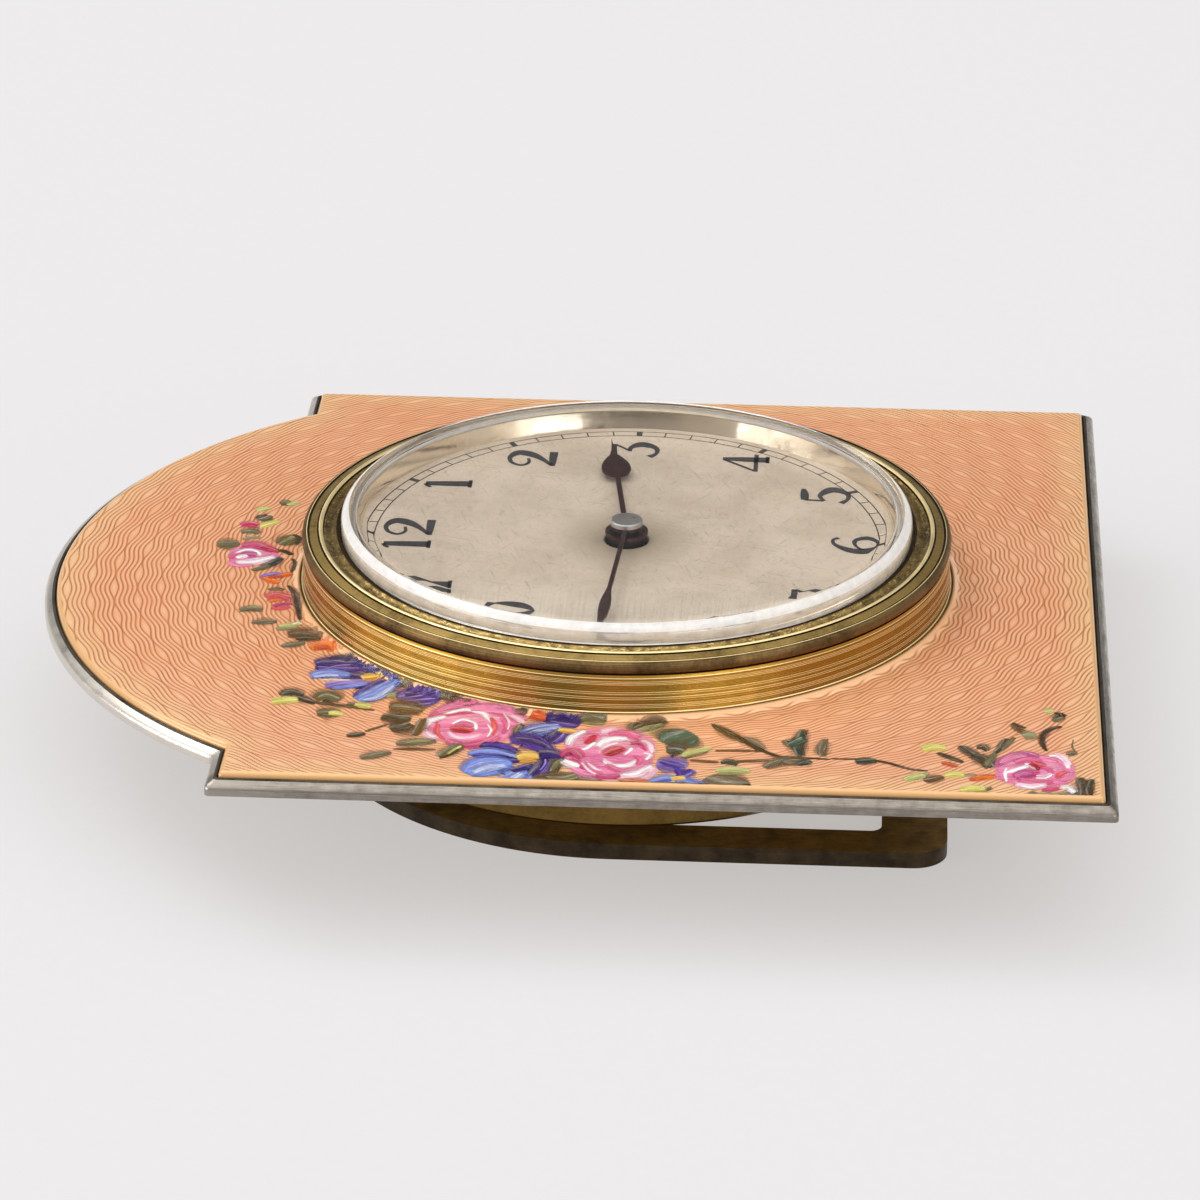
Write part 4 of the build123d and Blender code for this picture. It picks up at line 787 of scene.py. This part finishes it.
class Sheet:
    """Verts and faces of a thin printed layer, collected before they become one mesh."""

    def __init__(self):
        self.verts, self.faces = [], []

    def ribbon(self, points, z, steps=10):
        """A flat stroke through (x, y, width) points, smooth between them."""
        line = curve(points, steps)
        first = len(self.verts)
        for i, (x, y, w) in enumerate(line):
            a, b = line[max(i - 1, 0)], line[min(i + 1, len(line) - 1)]
            along = Vector((b[0] - a[0], b[1] - a[1])).normalized()
            for sign in (-1, 1):
                self.verts.append((x - sign * along.y * w / 2, y + sign * along.x * w / 2, z))
        for i in range(len(line) - 1):
            k = first + 2 * i
            self.faces.append([k, k + 2, k + 3, k + 1])

    def bar(self, a, b, width, z):
        self.ribbon([(*a, width), (*b, width)], z, 1)

    def ring(self, radius, width, z, count=180):
        first = len(self.verts)
        for step in range(count):
            turn = 2 * math.pi * step / count
            for r in (radius - width / 2, radius + width / 2):
                self.verts.append((*around(r, turn), z))
        for step in range(count):
            a, b = first + 2 * step, first + 2 * ((step + 1) % count)
            self.faces.append([a, b, b + 1, a + 1])


DIGITS = {
    "0": [
        [
            (0, 1, 0.05), (-0.24, 0.82, 0.15), (-0.30, 0.5, 0.20), (-0.24, 0.18, 0.15), (0, 0.0, 0.05),
            (0.24, 0.18, 0.15), (0.30, 0.5, 0.20), (0.24, 0.82, 0.15), (0, 1, 0.05),
        ]
    ],
    "1": [
        [(0.0, 0.99, 0.13), (0.0, 0.5, 0.17), (0.0, 0.0, 0.19)],
        [(-0.17, 0.86, 0.03), (-0.09, 0.95, 0.05), (0.0, 0.98, 0.07)],
        [(-0.16, 0.02, 0.04), (0.16, 0.02, 0.04)],
    ],
    "2": [
        [
            (0.02, 0.60, 0.03), (-0.18, 0.58, 0.04), (-0.30, 0.74, 0.05), (-0.18, 0.95, 0.05),
            (0.06, 1.0, 0.07), (0.27, 0.82, 0.17), (0.20, 0.55, 0.17), (0.0, 0.30, 0.09),
            (-0.30, 0.06, 0.04),
        ],
        [(-0.31, 0.05, 0.06), (0.0, 0.06, 0.11), (0.33, 0.055, 0.12)],
    ],
    "3": [
        [(-0.22, 0.95, 0.10), (0.28, 0.96, 0.05)], [(0.28, 0.95, 0.03), (0.0, 0.62, 0.035)],
        [
            (-0.04, 0.60, 0.035), (0.14, 0.58, 0.08), (0.29, 0.34, 0.19), (0.14, 0.05, 0.09),
            (-0.10, 0.02, 0.05), (-0.27, 0.17, 0.11),
        ],
    ],
    "4": [
        [(0.12, 1.0, 0.10), (0.12, 0.5, 0.17), (0.12, 0.0, 0.19)],
        [(0.10, 0.99, 0.035), (-0.40, 0.28, 0.035)], [(-0.42, 0.27, 0.05), (0.36, 0.27, 0.05)],
        [(-0.02, 0.02, 0.04), (0.28, 0.02, 0.04)],
    ],
    "5": [
        [(-0.19, 0.95, 0.10), (0.05, 0.96, 0.12), (0.29, 0.99, 0.05)],
        [(-0.19, 0.95, 0.035), (-0.21, 0.54, 0.035)],
        [
            (-0.21, 0.53, 0.04), (0.02, 0.62, 0.07), (0.29, 0.36, 0.19), (0.14, 0.05, 0.09),
            (-0.10, 0.02, 0.05), (-0.29, 0.17, 0.10),
        ],
    ],
    "6": [
        [
            (0.24, 0.86, 0.07), (0.15, 0.98, 0.04), (-0.05, 0.93, 0.06), (-0.26, 0.62, 0.15),
            (-0.28, 0.30, 0.18), (-0.10, 0.03, 0.08), (0.12, 0.03, 0.06), (0.27, 0.25, 0.12),
            (0.16, 0.50, 0.07), (-0.06, 0.50, 0.035), (-0.24, 0.34, 0.03),
        ]
    ],
    "7": [
        [(-0.29, 0.95, 0.12), (0.0, 0.94, 0.10), (0.30, 0.96, 0.06)],
        [(0.29, 0.94, 0.04), (0.07, 0.52, 0.09), (-0.02, 0.02, 0.19)],
    ],
    "8": [
        [
            (0.02, 0.52, 0.08), (-0.22, 0.70, 0.10), (-0.16, 0.93, 0.07), (0.04, 0.99, 0.045),
            (0.23, 0.88, 0.07), (0.18, 0.66, 0.07), (-0.06, 0.50, 0.13), (-0.30, 0.24, 0.09),
            (-0.14, 0.03, 0.06), (0.06, 0.01, 0.05), (0.30, 0.20, 0.13), (0.20, 0.42, 0.12),
            (0.02, 0.52, 0.08),
        ]
    ],
}
DIGITS["9"] = [[(-x, 1 - y, w) for x, y, w in DIGITS["6"][0]]]
NUMERAL_HEIGHT, NUMERAL_WIDTH, NUMERAL_CIRCLE = 3.3, 4.4, 15.75
TRACK_IN, TRACK_OUT = 17.75, 18.5
SHIFTS = {
    12: (-0.3, -0.41), 1: (0.68, -0.42), 2: (-0.47, -0.41), 3: (-0.68, 0.2), 5: (0.34, -0.14),
    6: (0.34, -0.28), 7: (-0.58, 0.2), 10: (0.15, -0.45), 11: (-0.98, -0.28),
}
prints = Sheet()
printed = DIAL + INK_HEIGHT
for hour in range(1, 13):
    turn = math.radians(90 - 30 * hour)
    over, rise = SHIFTS.get(hour, (0, 0))
    cx, cy = NUMERAL_CIRCLE * math.cos(turn) + over, NUMERAL_CIRCLE * math.sin(turn) + rise
    text = str(hour)
    for place, digit in enumerate(text):
        gap = 0.62 if text in ("10", "12") else 0.36
        shift = (place - (len(text) - 1) / 2) * gap * NUMERAL_WIDTH
        for stroke in DIGITS[digit]:
            line = []
            for x, y, w in stroke:
                over = cx + shift + x * NUMERAL_WIDTH * 0.88
                line.append((over, cy + (y - 0.5) * NUMERAL_HEIGHT, w * NUMERAL_HEIGHT * 1.3 + 0.1))
            prints.ribbon(line, printed)
prints.ring(TRACK_IN, 0.09, printed)
prints.ring(TRACK_OUT, 0.09, printed)
for minute in range(60):
    turn = math.radians(6 * minute)
    wide = 0.42 if minute % 5 == 0 else 0.1
    prints.bar(around(TRACK_IN, turn), around(TRACK_OUT, turn), wide, printed)
make("dial_print", prints.verts, prints.faces, "case", [ink.mat], slot="silvered_dial")

# Garland of roses, small blue flowers and leaves, laid in strokes of thin paint on the enamel


def tint(red, green, blue):
    """A display colour as the linear colour a shader takes."""
    shares = [level / 255 for level in (red, green, blue)]
    return [((share + 0.055) / 1.055) ** 2.4 if share > 0.0404 else share / 12.92 for share in shares]


def blend(a, b, share):
    """A tone part of the way from one to another."""
    return [p + (q - p) * share for p, q in zip(a, b)]


def ground(x, y):
    """Height of the enamel at a spot, with the lip round the case."""
    out = math.hypot(x, y)
    for (inner, low, _), (outer, high, _) in zip(enamel_lip, enamel_lip[1:]):
        if inner <= out < outer:
            return low + (high - low) * (out - inner) / (outer - inner)
    return ENAMEL


PAINT_NEAR, PAINT_FOOT = 1.2 - PLATE_HALF, PLATE_FOOT + 1.2


class Paint:
    """Brush strokes, each a thin layer of paint with its colour, cover and run of the brush at its points."""

    def __init__(self):
        self.verts, self.faces, self.tones, self.runs = [], [], [], []

    def stroke(self, line, width, tone, lift, cover=1.0, point=0.7, lanes=8, steps=7):
        """One stroke of a round brush along a line, full in the middle and thin at its ends."""
        spots = curve(line, steps)
        count = len(spots)
        first = len(self.verts)
        grain = [random.uniform(0.9, 1.1) for _ in range(lanes + 1)]
        start, run = random.uniform(0, 90), 0.0
        soft = 0.45 if width > 2.2 else 1.0
        for i, (x, y) in enumerate(spots):
            a, b = spots[max(i - 1, 0)], spots[min(i + 1, count - 1)]
            way = Vector((b[0] - a[0], b[1] - a[1])).normalized()
            u = i / (count - 1)
            half = width * 0.64 * math.sin(math.pi * (0.05 + 0.9 * u)) ** (0.4 if width < 0.6 else point)
            run += math.dist(spots[i], spots[max(i - 1, 0)])
            ends = min(u, 1 - u) / (0.04 if width < 0.6 else 0.14)
            for j in range(lanes + 1):
                v = 2 * j / lanes - 1
                px = max(x - way.y * v * half, PAINT_NEAR)
                py = max(y + way.x * v * half, PAINT_FOOT)
                self.verts.append((px, py, ground(px, py) + lift))
                body = cover * min((1 - abs(v)) / soft, 1.0) * min(ends, 1.0)
                self.tones.append([min(c * grain[j], 1.0) for c in tone] + [body])
                self.runs += [v * width / 2, run, start]
        for i in range(count - 1):
            for j in range(lanes):
                k = first + i * (lanes + 1) + j
                self.faces.append([k, k + 1, k + lanes + 2, k + lanes + 1])

    def touch(self, line, width, tone, lift, under, spread, point):
        """A stroke over a soft haze of another tone, with fine lines of lighter and darker paint along it."""
        if spread:
            self.stroke(line, width * spread, under, lift, cover=0.45, point=point)
        self.stroke(line, width, tone, lift + 0.0002, cover=0.9, point=point)
        way = Vector((line[-1][0] - line[0][0], line[-1][1] - line[0][1])).normalized()
        darker, lighter = blend(tone, under, 0.35), blend(tone, tint(255, 244, 226), 0.22)
        for share, other in ((-0.2, darker), (0.2, lighter)):
            gap = (share + random.uniform(-0.1, 0.1)) * width
            if width > 0.7:
                beside = [(x - way.y * gap, y + way.x * gap) for x, y in line]
                self.stroke(
                    beside, width * 0.3, other, lift + 0.0004, cover=0.6, point=point, lanes=4, steps=5
                )

    def finish(self, name, mat):
        piece = make(name, self.verts, self.faces, "case", [mat], slot="enamel", sharp=180)
        layer = piece.data.color_attributes.new("paint", "FLOAT_COLOR", "POINT")
        layer.data.foreach_set("color", [c for tone in self.tones for c in tone])
        runs = piece.data.attributes.new("brush", "FLOAT_VECTOR", "POINT")
        runs.data.foreach_set("vector", self.runs)


# Tones of the palette: greens and browns, oranges, violets and blues, yellows, pinks and reds, white
TONES = {
    "o": tint(104, 98, 56), "d": tint(70, 60, 36), "b": tint(104, 78, 42), "B": tint(66, 46, 24),
    "g": tint(116, 108, 76), "s": tint(150, 148, 100), "p": tint(200, 204, 126), "l": tint(222, 214, 112),
    "t": tint(54, 92, 76), "T": tint(40, 58, 46), "w": tint(112, 98, 70), "x": tint(244, 244, 214),
    "n": tint(240, 122, 24), "N": tint(206, 80, 24), "c": tint(224, 88, 90), "v": tint(84, 52, 160),
    "V": tint(46, 26, 112), "m": tint(150, 122, 206), "k": tint(120, 146, 228), "K": tint(188, 204, 246),
    "y": tint(240, 200, 88), "a": tint(206, 142, 52), "P": tint(236, 136, 178), "Q": tint(252, 210, 224),
    "R": tint(224, 98, 146), "D": tint(206, 66, 120), "C": tint(206, 44, 70), "E": tint(160, 20, 44),
    "M": tint(200, 85, 150), "W": tint(255, 246, 248),
}

# Strokes in the order they are laid, picked in five enlarged parts of the photo: each part's left, top
# and scale, then for each stroke its tone, and its thickness and points in pixels of that part
GARLAND = [
    (205, 485, 9.8, """
    o 60 730 185 800 175 850 165; p 50 800 200 860 185 930 165; p 60 510 255 570 235 640 225;
    d 70 510 300 580 320 660 310; g 50 540 340 600 325 660 300; l 70 535 415 620 385 740 350;
    D 70 350 395 430 385 540 400; C 30 380 400 440 392 520 402; g 60 350 470 450 450 540 480;
    s 40 370 540 440 515 560 520; g 80 110 590 220 580 350 575; o 110 720 590 820 540 930 500;
    d 50 870 480 920 520 890 590; s 50 750 560 820 525 870 500; B 40 700 640 780 650 860 690;
    P 190 225 700 470 690 725 670; D 90 350 600 500 585 700 650; C 50 560 605 650 630 720 660;
    R 60 230 720 300 680 400 640; W 35 290 670 400 635 510 655 540 700; M 70 370 690 440 680 500 690;
    W 36 300 715 370 705 430 690; W 50 300 755 420 760 560 735 690 700; P 40 220 750 330 790 480 780;
    T 70 560 800 660 770 760 710; g 50 450 840 560 815 650 790; n 80 560 890 640 930 740 960;
    n 60 740 890 800 880 860 870; N 40 620 920 700 900 780 910; m 25 560 900 650 875 730 870;
    g 35 600 1030 700 1020 790 1030; d 50 860 720 880 780 850 860; B 75 820 980 880 1080 910 1200 925 1330;
    c 95 610 1115 700 1080 845 1120; n 45 610 1150 690 1130 760 1130; D 50 660 1190 750 1170 860 1160;
    c 40 640 1200 740 1215 840 1190; g 60 320 1230 440 1215 580 1225; s 20 400 1205 470 1190 530 1205;
    g 60 440 1350 580 1345 720 1340; s 55 680 1410 800 1400 920 1385; p 50 720 1390 820 1370 960 1360;
    x 18 850 1370 910 1352 955 1362
    """),
    (260, 590, 7.4667, """
    b 75 205 345 320 330 470 365; d 40 260 370 360 360 450 375; g 45 150 420 240 410 340 395;
    n 95 370 440 480 410 625 380; n 60 510 460 570 420 630 385; N 35 400 435 470 430 540 440;
    a 40 600 460 650 430 690 440; o 40 520 520 600 505 700 515; d 50 680 470 780 520 900 570;
    V 70 440 560 560 545 770 560; v 45 450 582 600 588 770 592; V 60 640 630 720 640 780 650;
    k 62 400 645 500 625 650 640; K 25 415 650 500 640 580 640; m 55 510 720 640 700 840 690;
    k 28 560 735 680 720 800 705; V 55 900 600 970 640 1015 675; V 60 810 590 880 610 940 640;
    v 62 728 792 800 740 895 680; k 95 760 815 860 770 1005 690; K 38 780 815 880 790 985 715;
    m 10 470 600 560 570 660 565; x 9 450 668 560 672 680 672; y 60 750 655 830 650 920 630;
    a 25 780 668 830 670 885 655; s 60 940 800 1000 790 1080 775; v 115 1070 825 1190 800 1315 790;
    V 50 1100 780 1180 770 1285 770; m 11 1080 805 1190 792 1290 782; m 11 1090 832 1190 822 1285 815;
    m 11 1110 858 1190 852 1265 848; o 60 1020 720 1100 700 1190 712; d 60 1330 800 1450 800 1560 812;
    d 60 150 795 230 765 330 790; B 55 260 800 340 820 425 850; l 70 80 840 180 825 290 820;
    o 80 420 820 500 795 595 830; b 25 400 840 560 860 720 880 860 900; o 40 650 860 700 860 760 885;
    l 50 700 860 760 860 830 880; o 70 415 930 500 920 610 930; l 45 515 925 560 920 630 935;
    b 100 950 880 1060 880 1225 910; d 70 890 950 1020 960 1135 970; d 90 960 1040 1040 1030 1145 1000;
    b 85 1160 1095 1190 1030 1225 955; d 42 640 1090 720 1085 795 1070; b 18 780 1062 880 1030 965 1000;
    g 65 1005 1155 1130 1140 1325 1130; s 32 1080 1142 1180 1130 1290 1130;
    b 22 990 1190 1150 1190 1320 1195; g 60 735 1258 860 1235 985 1210; o 85 1335 1255 1430 1200 1515 1155;
    p 28 1400 1230 1450 1200 1500 1165; B 18 1340 1262 1420 1230 1490 1190
    """),
    (410, 690, 4.7515, """
    d 45 140 18 260 45 380 62; d 50 370 62 480 92 570 112; P 185 70 168 290 160 535 160;
    R 50 95 135 200 80 340 75 420 110; P 42 120 110 220 75 330 72; R 60 360 85 460 112 545 155;
    P 40 400 80 480 110 535 150; Q 22 420 95 490 120 545 162; D 36 110 160 140 120 230 105 310 105;
    W 28 60 187 90 150 175 124; W 20 150 118 260 95 350 115 388 162; Q 26 68 195 110 222 155 206;
    c 32 135 160 128 200 162 236; R 50 160 235 250 262 350 250 435 212; D 24 200 256 280 263 360 246;
    Q 16 180 195 210 222 270 228 345 208; C 36 188 186 240 184 304 196; E 16 200 192 240 196 292 201;
    W 15 195 162 250 143 305 160 314 190; R 22 215 172 255 161 300 173; c 34 380 130 402 170 390 216;
    W 13 368 165 386 192 368 226; R 36 430 130 462 170 440 212; Q 12 440 110 472 150 462 192;
    o 48 500 226 515 190 535 162; s 18 508 220 520 195 534 172; N 46 568 124 610 130 655 140;
    n 22 590 120 620 125 645 130; V 52 655 140 720 143 795 162; v 26 670 155 730 165 785 172;
    k 52 543 212 620 190 705 180; K 24 560 214 630 195 695 186; k 40 580 236 640 216 705 204;
    V 46 640 252 690 216 722 194; v 36 690 252 730 226 748 204; y 28 703 188 750 193 797 201;
    a 9 715 198 750 204 787 205; v 62 488 247 560 245 650 292; V 28 510 235 580 240 640 270;
    V 36 348 266 430 275 508 306; v 18 360 258 430 264 490 284; k 36 293 307 390 300 498 326;
    v 18 310 316 400 318 500 336; V 26 400 331 460 336 512 341; k 74 295 397 370 365 472 360;
    K 32 312 396 370 375 452 365; k 92 447 468 490 420 552 384; K 40 462 460 490 425 532 400;
    V 30 488 386 540 370 582 360; V 84 598 408 640 365 652 330; v 36 625 402 660 360 672 330;
    V 46 608 310 660 310 722 325; m 10 620 380 640 355 645 335; y 52 506 327 560 318 614 318;
    a 18 515 342 560 343 602 336; d 60 565 436 680 450 805 450; o 55 675 395 700 352 735 328;
    o 46 640 422 730 425 822 400; s 18 650 442 740 430 812 410; b 48 790 430 860 440 925 442;
    g 40 808 142 870 140 942 150; s 22 820 157 870 161 930 165; o 40 1038 192 1060 170 1092 160;
    d 42 1060 190 1130 160 1228 150; s 32 1070 202 1130 186 1212 166; p 10 1090 211 1140 206 1200 182;
    P 235 722 312 940 310 1168 320; R 60 822 236 860 230 908 224; C 34 830 262 860 240 882 214;
    W 28 753 268 775 225 838 197; W 16 815 286 845 276 882 250; Q 28 905 206 960 195 1012 214;
    R 40 940 216 1020 206 1095 232; W 26 888 272 945 240 1042 234; Q 14 900 302 930 270 992 254;
    D 36 1045 262 1100 252 1132 292; C 56 922 312 965 295 1018 274; E 22 940 312 970 300 1006 286;
    W 16 1022 312 1042 292 1050 276; W 22 918 335 965 363 1035 363 1092 333; R 30 930 352 1000 386 1082 372;
    Q 28 1095 240 1140 265 1152 306; W 20 1105 300 1142 312 1120 336; R 36 1060 312 1092 332 1080 362;
    Q 50 972 417 1070 410 1163 364; W 18 1000 406 1080 400 1152 360; D 45 715 317 770 295 807 332;
    D 38 760 330 800 350 852 382; W 28 718 336 765 359 808 366; R 38 800 336 850 375 912 406;
    Q 12 810 346 850 386 892 406; Q 11 840 346 880 376 914 386; D 34 878 406 940 421 1002 405;
    Q 18 900 452 950 456 995 464; N 46 982 462 1050 455 1134 466; n 26 1000 470 1060 470 1112 460;
    t 112 1218 262 1280 235 1356 212; T 60 1213 292 1260 290 1304 302; g 28 1295 330 1350 305 1420 290;
    p 34 1283 322 1350 295 1442 275; b 12 1330 336 1400 340 1472 346; m 55 1183 356 1240 360 1304 371;
    v 26 1195 345 1240 355 1292 366; k 36 1148 442 1200 430 1257 425; k 40 1178 480 1225 455 1264 434;
    k 36 1290 487 1285 455 1274 434; v 42 1335 384 1310 400 1283 416; k 42 1398 477 1350 445 1303 424;
    v 28 1268 376 1275 395 1281 413; K 14 1190 470 1225 452 1250 440; y 26 1236 429 1270 425 1314 420
    """),
    (700, 705, 6.8174, """
    w 135 15 500 160 540 345 548; T 40 140 400 190 388 252 412; s 28 120 470 220 465 330 462;
    p 44 98 450 200 438 352 450; B 18 290 542 320 550 347 546; b 22 210 390 350 385 480 380;
    b 16 95 312 250 310 425 316; b 62 88 130 200 200 325 262; w 70 275 228 350 250 435 312;
    B 20 78 128 250 212 400 300 560 356 720 360 900 370; B 16 880 369 1150 376 1300 400 1440 440 1565 450;
    w 72 425 432 530 392 645 360; w 60 555 392 650 385 745 390; T 46 655 412 710 395 765 380;
    g 36 568 238 600 270 645 305; T 110 690 352 668 270 714 158; t 66 606 282 660 258 725 228;
    w 92 835 357 830 300 852 226; T 50 1055 392 1130 385 1214 380
    """),
    (900, 700, 7.4667, """
    b 60 170 600 240 590 325 570; s 40 110 592 160 570 212 540; p 70 32 607 100 580 190 555;
    d 34 270 395 370 430 480 470; l 72 165 377 250 355 350 366; N 40 308 470 370 480 434 500;
    s 22 440 562 520 560 585 560; l 55 325 567 400 555 492 560; N 52 515 602 620 580 725 568;
    n 28 560 595 640 580 712 570; o 40 460 690 560 690 700 650; l 60 448 677 540 660 650 664;
    d 70 438 338 520 390 605 442; d 92 535 420 610 440 685 515; d 40 578 362 620 350 652 382;
    g 60 640 502 680 440 722 378; d 70 718 402 770 340 802 286; g 40 760 372 810 320 856 278;
    b 52 833 173 890 220 965 272; B 18 838 168 880 190 942 212; s 78 912 272 965 265 1028 260;
    B 52 1095 385 1058 310 1080 250 1140 210 1215 198; p 50 1075 92 1120 80 1155 82;
    d 52 1150 152 1190 120 1245 108; B 30 1155 98 1200 110 1222 142; g 40 1148 162 1180 152 1214 130;
    g 38 1248 412 1290 400 1322 402; g 14 1300 296 1284 350 1312 392; s 60 1035 742 1150 730 1325 740;
    T 62 1175 762 1300 750 1445 778; d 60 955 745 1000 762 1045 782; p 24 1050 747 1130 736 1205 736;
    d 115 1380 768 1370 660 1338 575; d 100 1420 748 1410 660 1432 588; P 235 697 522 1000 530 1308 562;
    M 58 718 502 830 430 950 410 1044 432; P 44 740 480 850 430 960 425; R 50 850 472 960 450 1062 462;
    W 24 800 508 788 560 800 614; W 24 788 548 880 520 984 488; W 18 930 478 970 490 1014 522;
    C 72 978 470 1030 490 1085 502; E 28 990 482 1020 500 1034 532; D 80 855 592 950 552 1045 562;
    M 60 850 582 930 552 1004 552; Q 24 1018 572 1090 560 1154 518; W 13 1008 582 1080 586 1142 560;
    R 48 1058 500 1110 520 1132 552; P 60 1180 450 1230 490 1294 552;
    W 34 1108 420 1180 420 1240 460 1257 514; Q 28 1150 400 1220 430 1272 492;
    c 48 1168 592 1200 560 1254 538; P 48 1180 602 1260 580 1304 560; R 58 880 602 1000 620 1154 610;
    Q 40 858 632 960 650 1104 640; W 17 900 641 980 656 1084 640; D 38 1048 682 1130 670 1204 660;
    W 38 1200 660 1260 660 1308 702
    """),
]
PAINT_EDGE = -32.8
PAINT_LIFT, PAINT_LAYER = 0.004, 0.0006
FLOWER_SPREAD, LIGHT_SPREAD = 1.25, 1.35


def picked(left, upper, scale, stroke):
    """A stroke's tone, and its width and points in mm on the enamel."""
    tone, *numbers = stroke.split()
    thick, *numbers = [float(number) / scale for number in numbers]
    line = [Vector((left + x, upper + y)) for x, y in zip(numbers[::2], numbers[1::2])]
    middle = len(line) // 2
    before, after = line[middle - 1], line[middle + 1]
    half = (after - before).normalized().orthogonal() * thick / 2
    across = on_enamel(*(line[middle] + half)) - on_enamel(*(line[middle] - half))
    square = (on_enamel(*after) - on_enamel(*before)).normalized().orthogonal()
    spots = [max(round(value, 1), PAINT_EDGE) for spot in line for value in on_enamel(*spot)]
    return tone, round(abs(across.dot(square)), 2), spots


paint = Paint()
for left, upper, scale, strokes in GARLAND:
    for place, stroke in enumerate(strokes.split(";")):
        tone, width, spots = picked(left, upper, scale, stroke)
        under, spread, point = blend(TONES[tone], TONES["D"], 0.4), 0, 0.6
        if tone in "odbBgtTw":
            under, spread, point = blend(TONES[tone], tint(150, 104, 62), 0.5), 1.6, 0.9
        elif tone in "vVkKm":
            under, spread, point, width = TONES["V"], 1.3, 0.8, width * FLOWER_SPREAD
            count = len(spots) // 2
            middle = [sum(spots[0::2]) / count, sum(spots[1::2]) / count] * count
            spots = [center + (spot - center) * FLOWER_SPREAD for spot, center in zip(spots, middle)]
        elif tone in "WQ":
            width = width * LIGHT_SPREAD
        line = list(zip(spots[::2], spots[1::2]))
        paint.touch(line, width, TONES[tone], PAINT_LIFT + PAINT_LAYER * place, under, spread, point)

pigment = Mat("painted_enamel", rough=0.32, Coat_Weight=0.5, Coat_Roughness=0.06, Specular_IOR_Level=0.35)
painted = pigment.node("ShaderNodeVertexColor", layer_name="paint")
brushed = pigment.node("ShaderNodeAttribute", attribute_name="brush")
hair_split = pigment.node("ShaderNodeSeparateXYZ")
pigment.put(hair_split.inputs[0], brushed.outputs["Vector"])
across, along, seed = hair_split.outputs
hair = pigment.noise(
    pigment.vector(pigment.times(across, 6.5), pigment.times(along, 0.9), seed), 1.0, 3.0, 0.6
)
pure, body = painted.outputs["Color"], painted.outputs["Alpha"]
shade = pigment.mix(1.0, pure, (0.74, 0.71, 0.70), "MULTIPLY")
light = pigment.mix(0.16, pure, (1.0, 0.96, 0.92))
raised = pigment.mix(pigment.ramp(hair, 0.56, 0.72), pure, light)
pigment.set("Base Color", pigment.mix(pigment.ramp(hair, 0.34, 0.56), shade, raised))
cover = pigment.plus(body, pigment.times(pigment.minus(hair, 0.5), 0.8))
cover = pigment.ramp(cover, 0.08, 0.72, 0.0, 0.97)
pigment.set("Alpha", pigment.times(cover, pigment.ramp(body, 0.0, 0.08)))
pigment.bump(hair, 0.3, 0.02)
paint.finish("garland", pigment.mat)

# Materials of the CAD pieces that stay as they are
LOOKS = {
    # The drum and back cover take the gilt painted dark as shade
    "rehaut_ring": rehaut_gilt, "case_drum": gilt_painted_shade, "back_cover": gilt_painted_shade, "hand_cap": steel,
    "hour_wheel": oxide, "cannon_pinion": oxide, "hour_hand": blued, "minute_hand": blued,
    # The strut and its fittings take brass with painted light and shade
    "strut": dark_brass, "strut_bracket": dark_brass, "strut_pin": dark_brass,
    "bracket_screws": dark_brass, "pallet_stones": ruby,
}
BY_SLOT = {"steel": steel, "brass": brass, "blued_steel": blued, "gilt": gilt, "dark_brass": dark_brass}
slots = {sub["node"]: sub["material_slot"] for sub in frame["record"]["subparts"]}
for name, node in nodes.items():
    if name in ("silver_frame", "enamel_panel", "bezel", "crystal", "dial"):
        continue
    node.data.materials.clear()
    node.data.materials.append(LOOKS.get(name) or BY_SLOT[slots[name]])
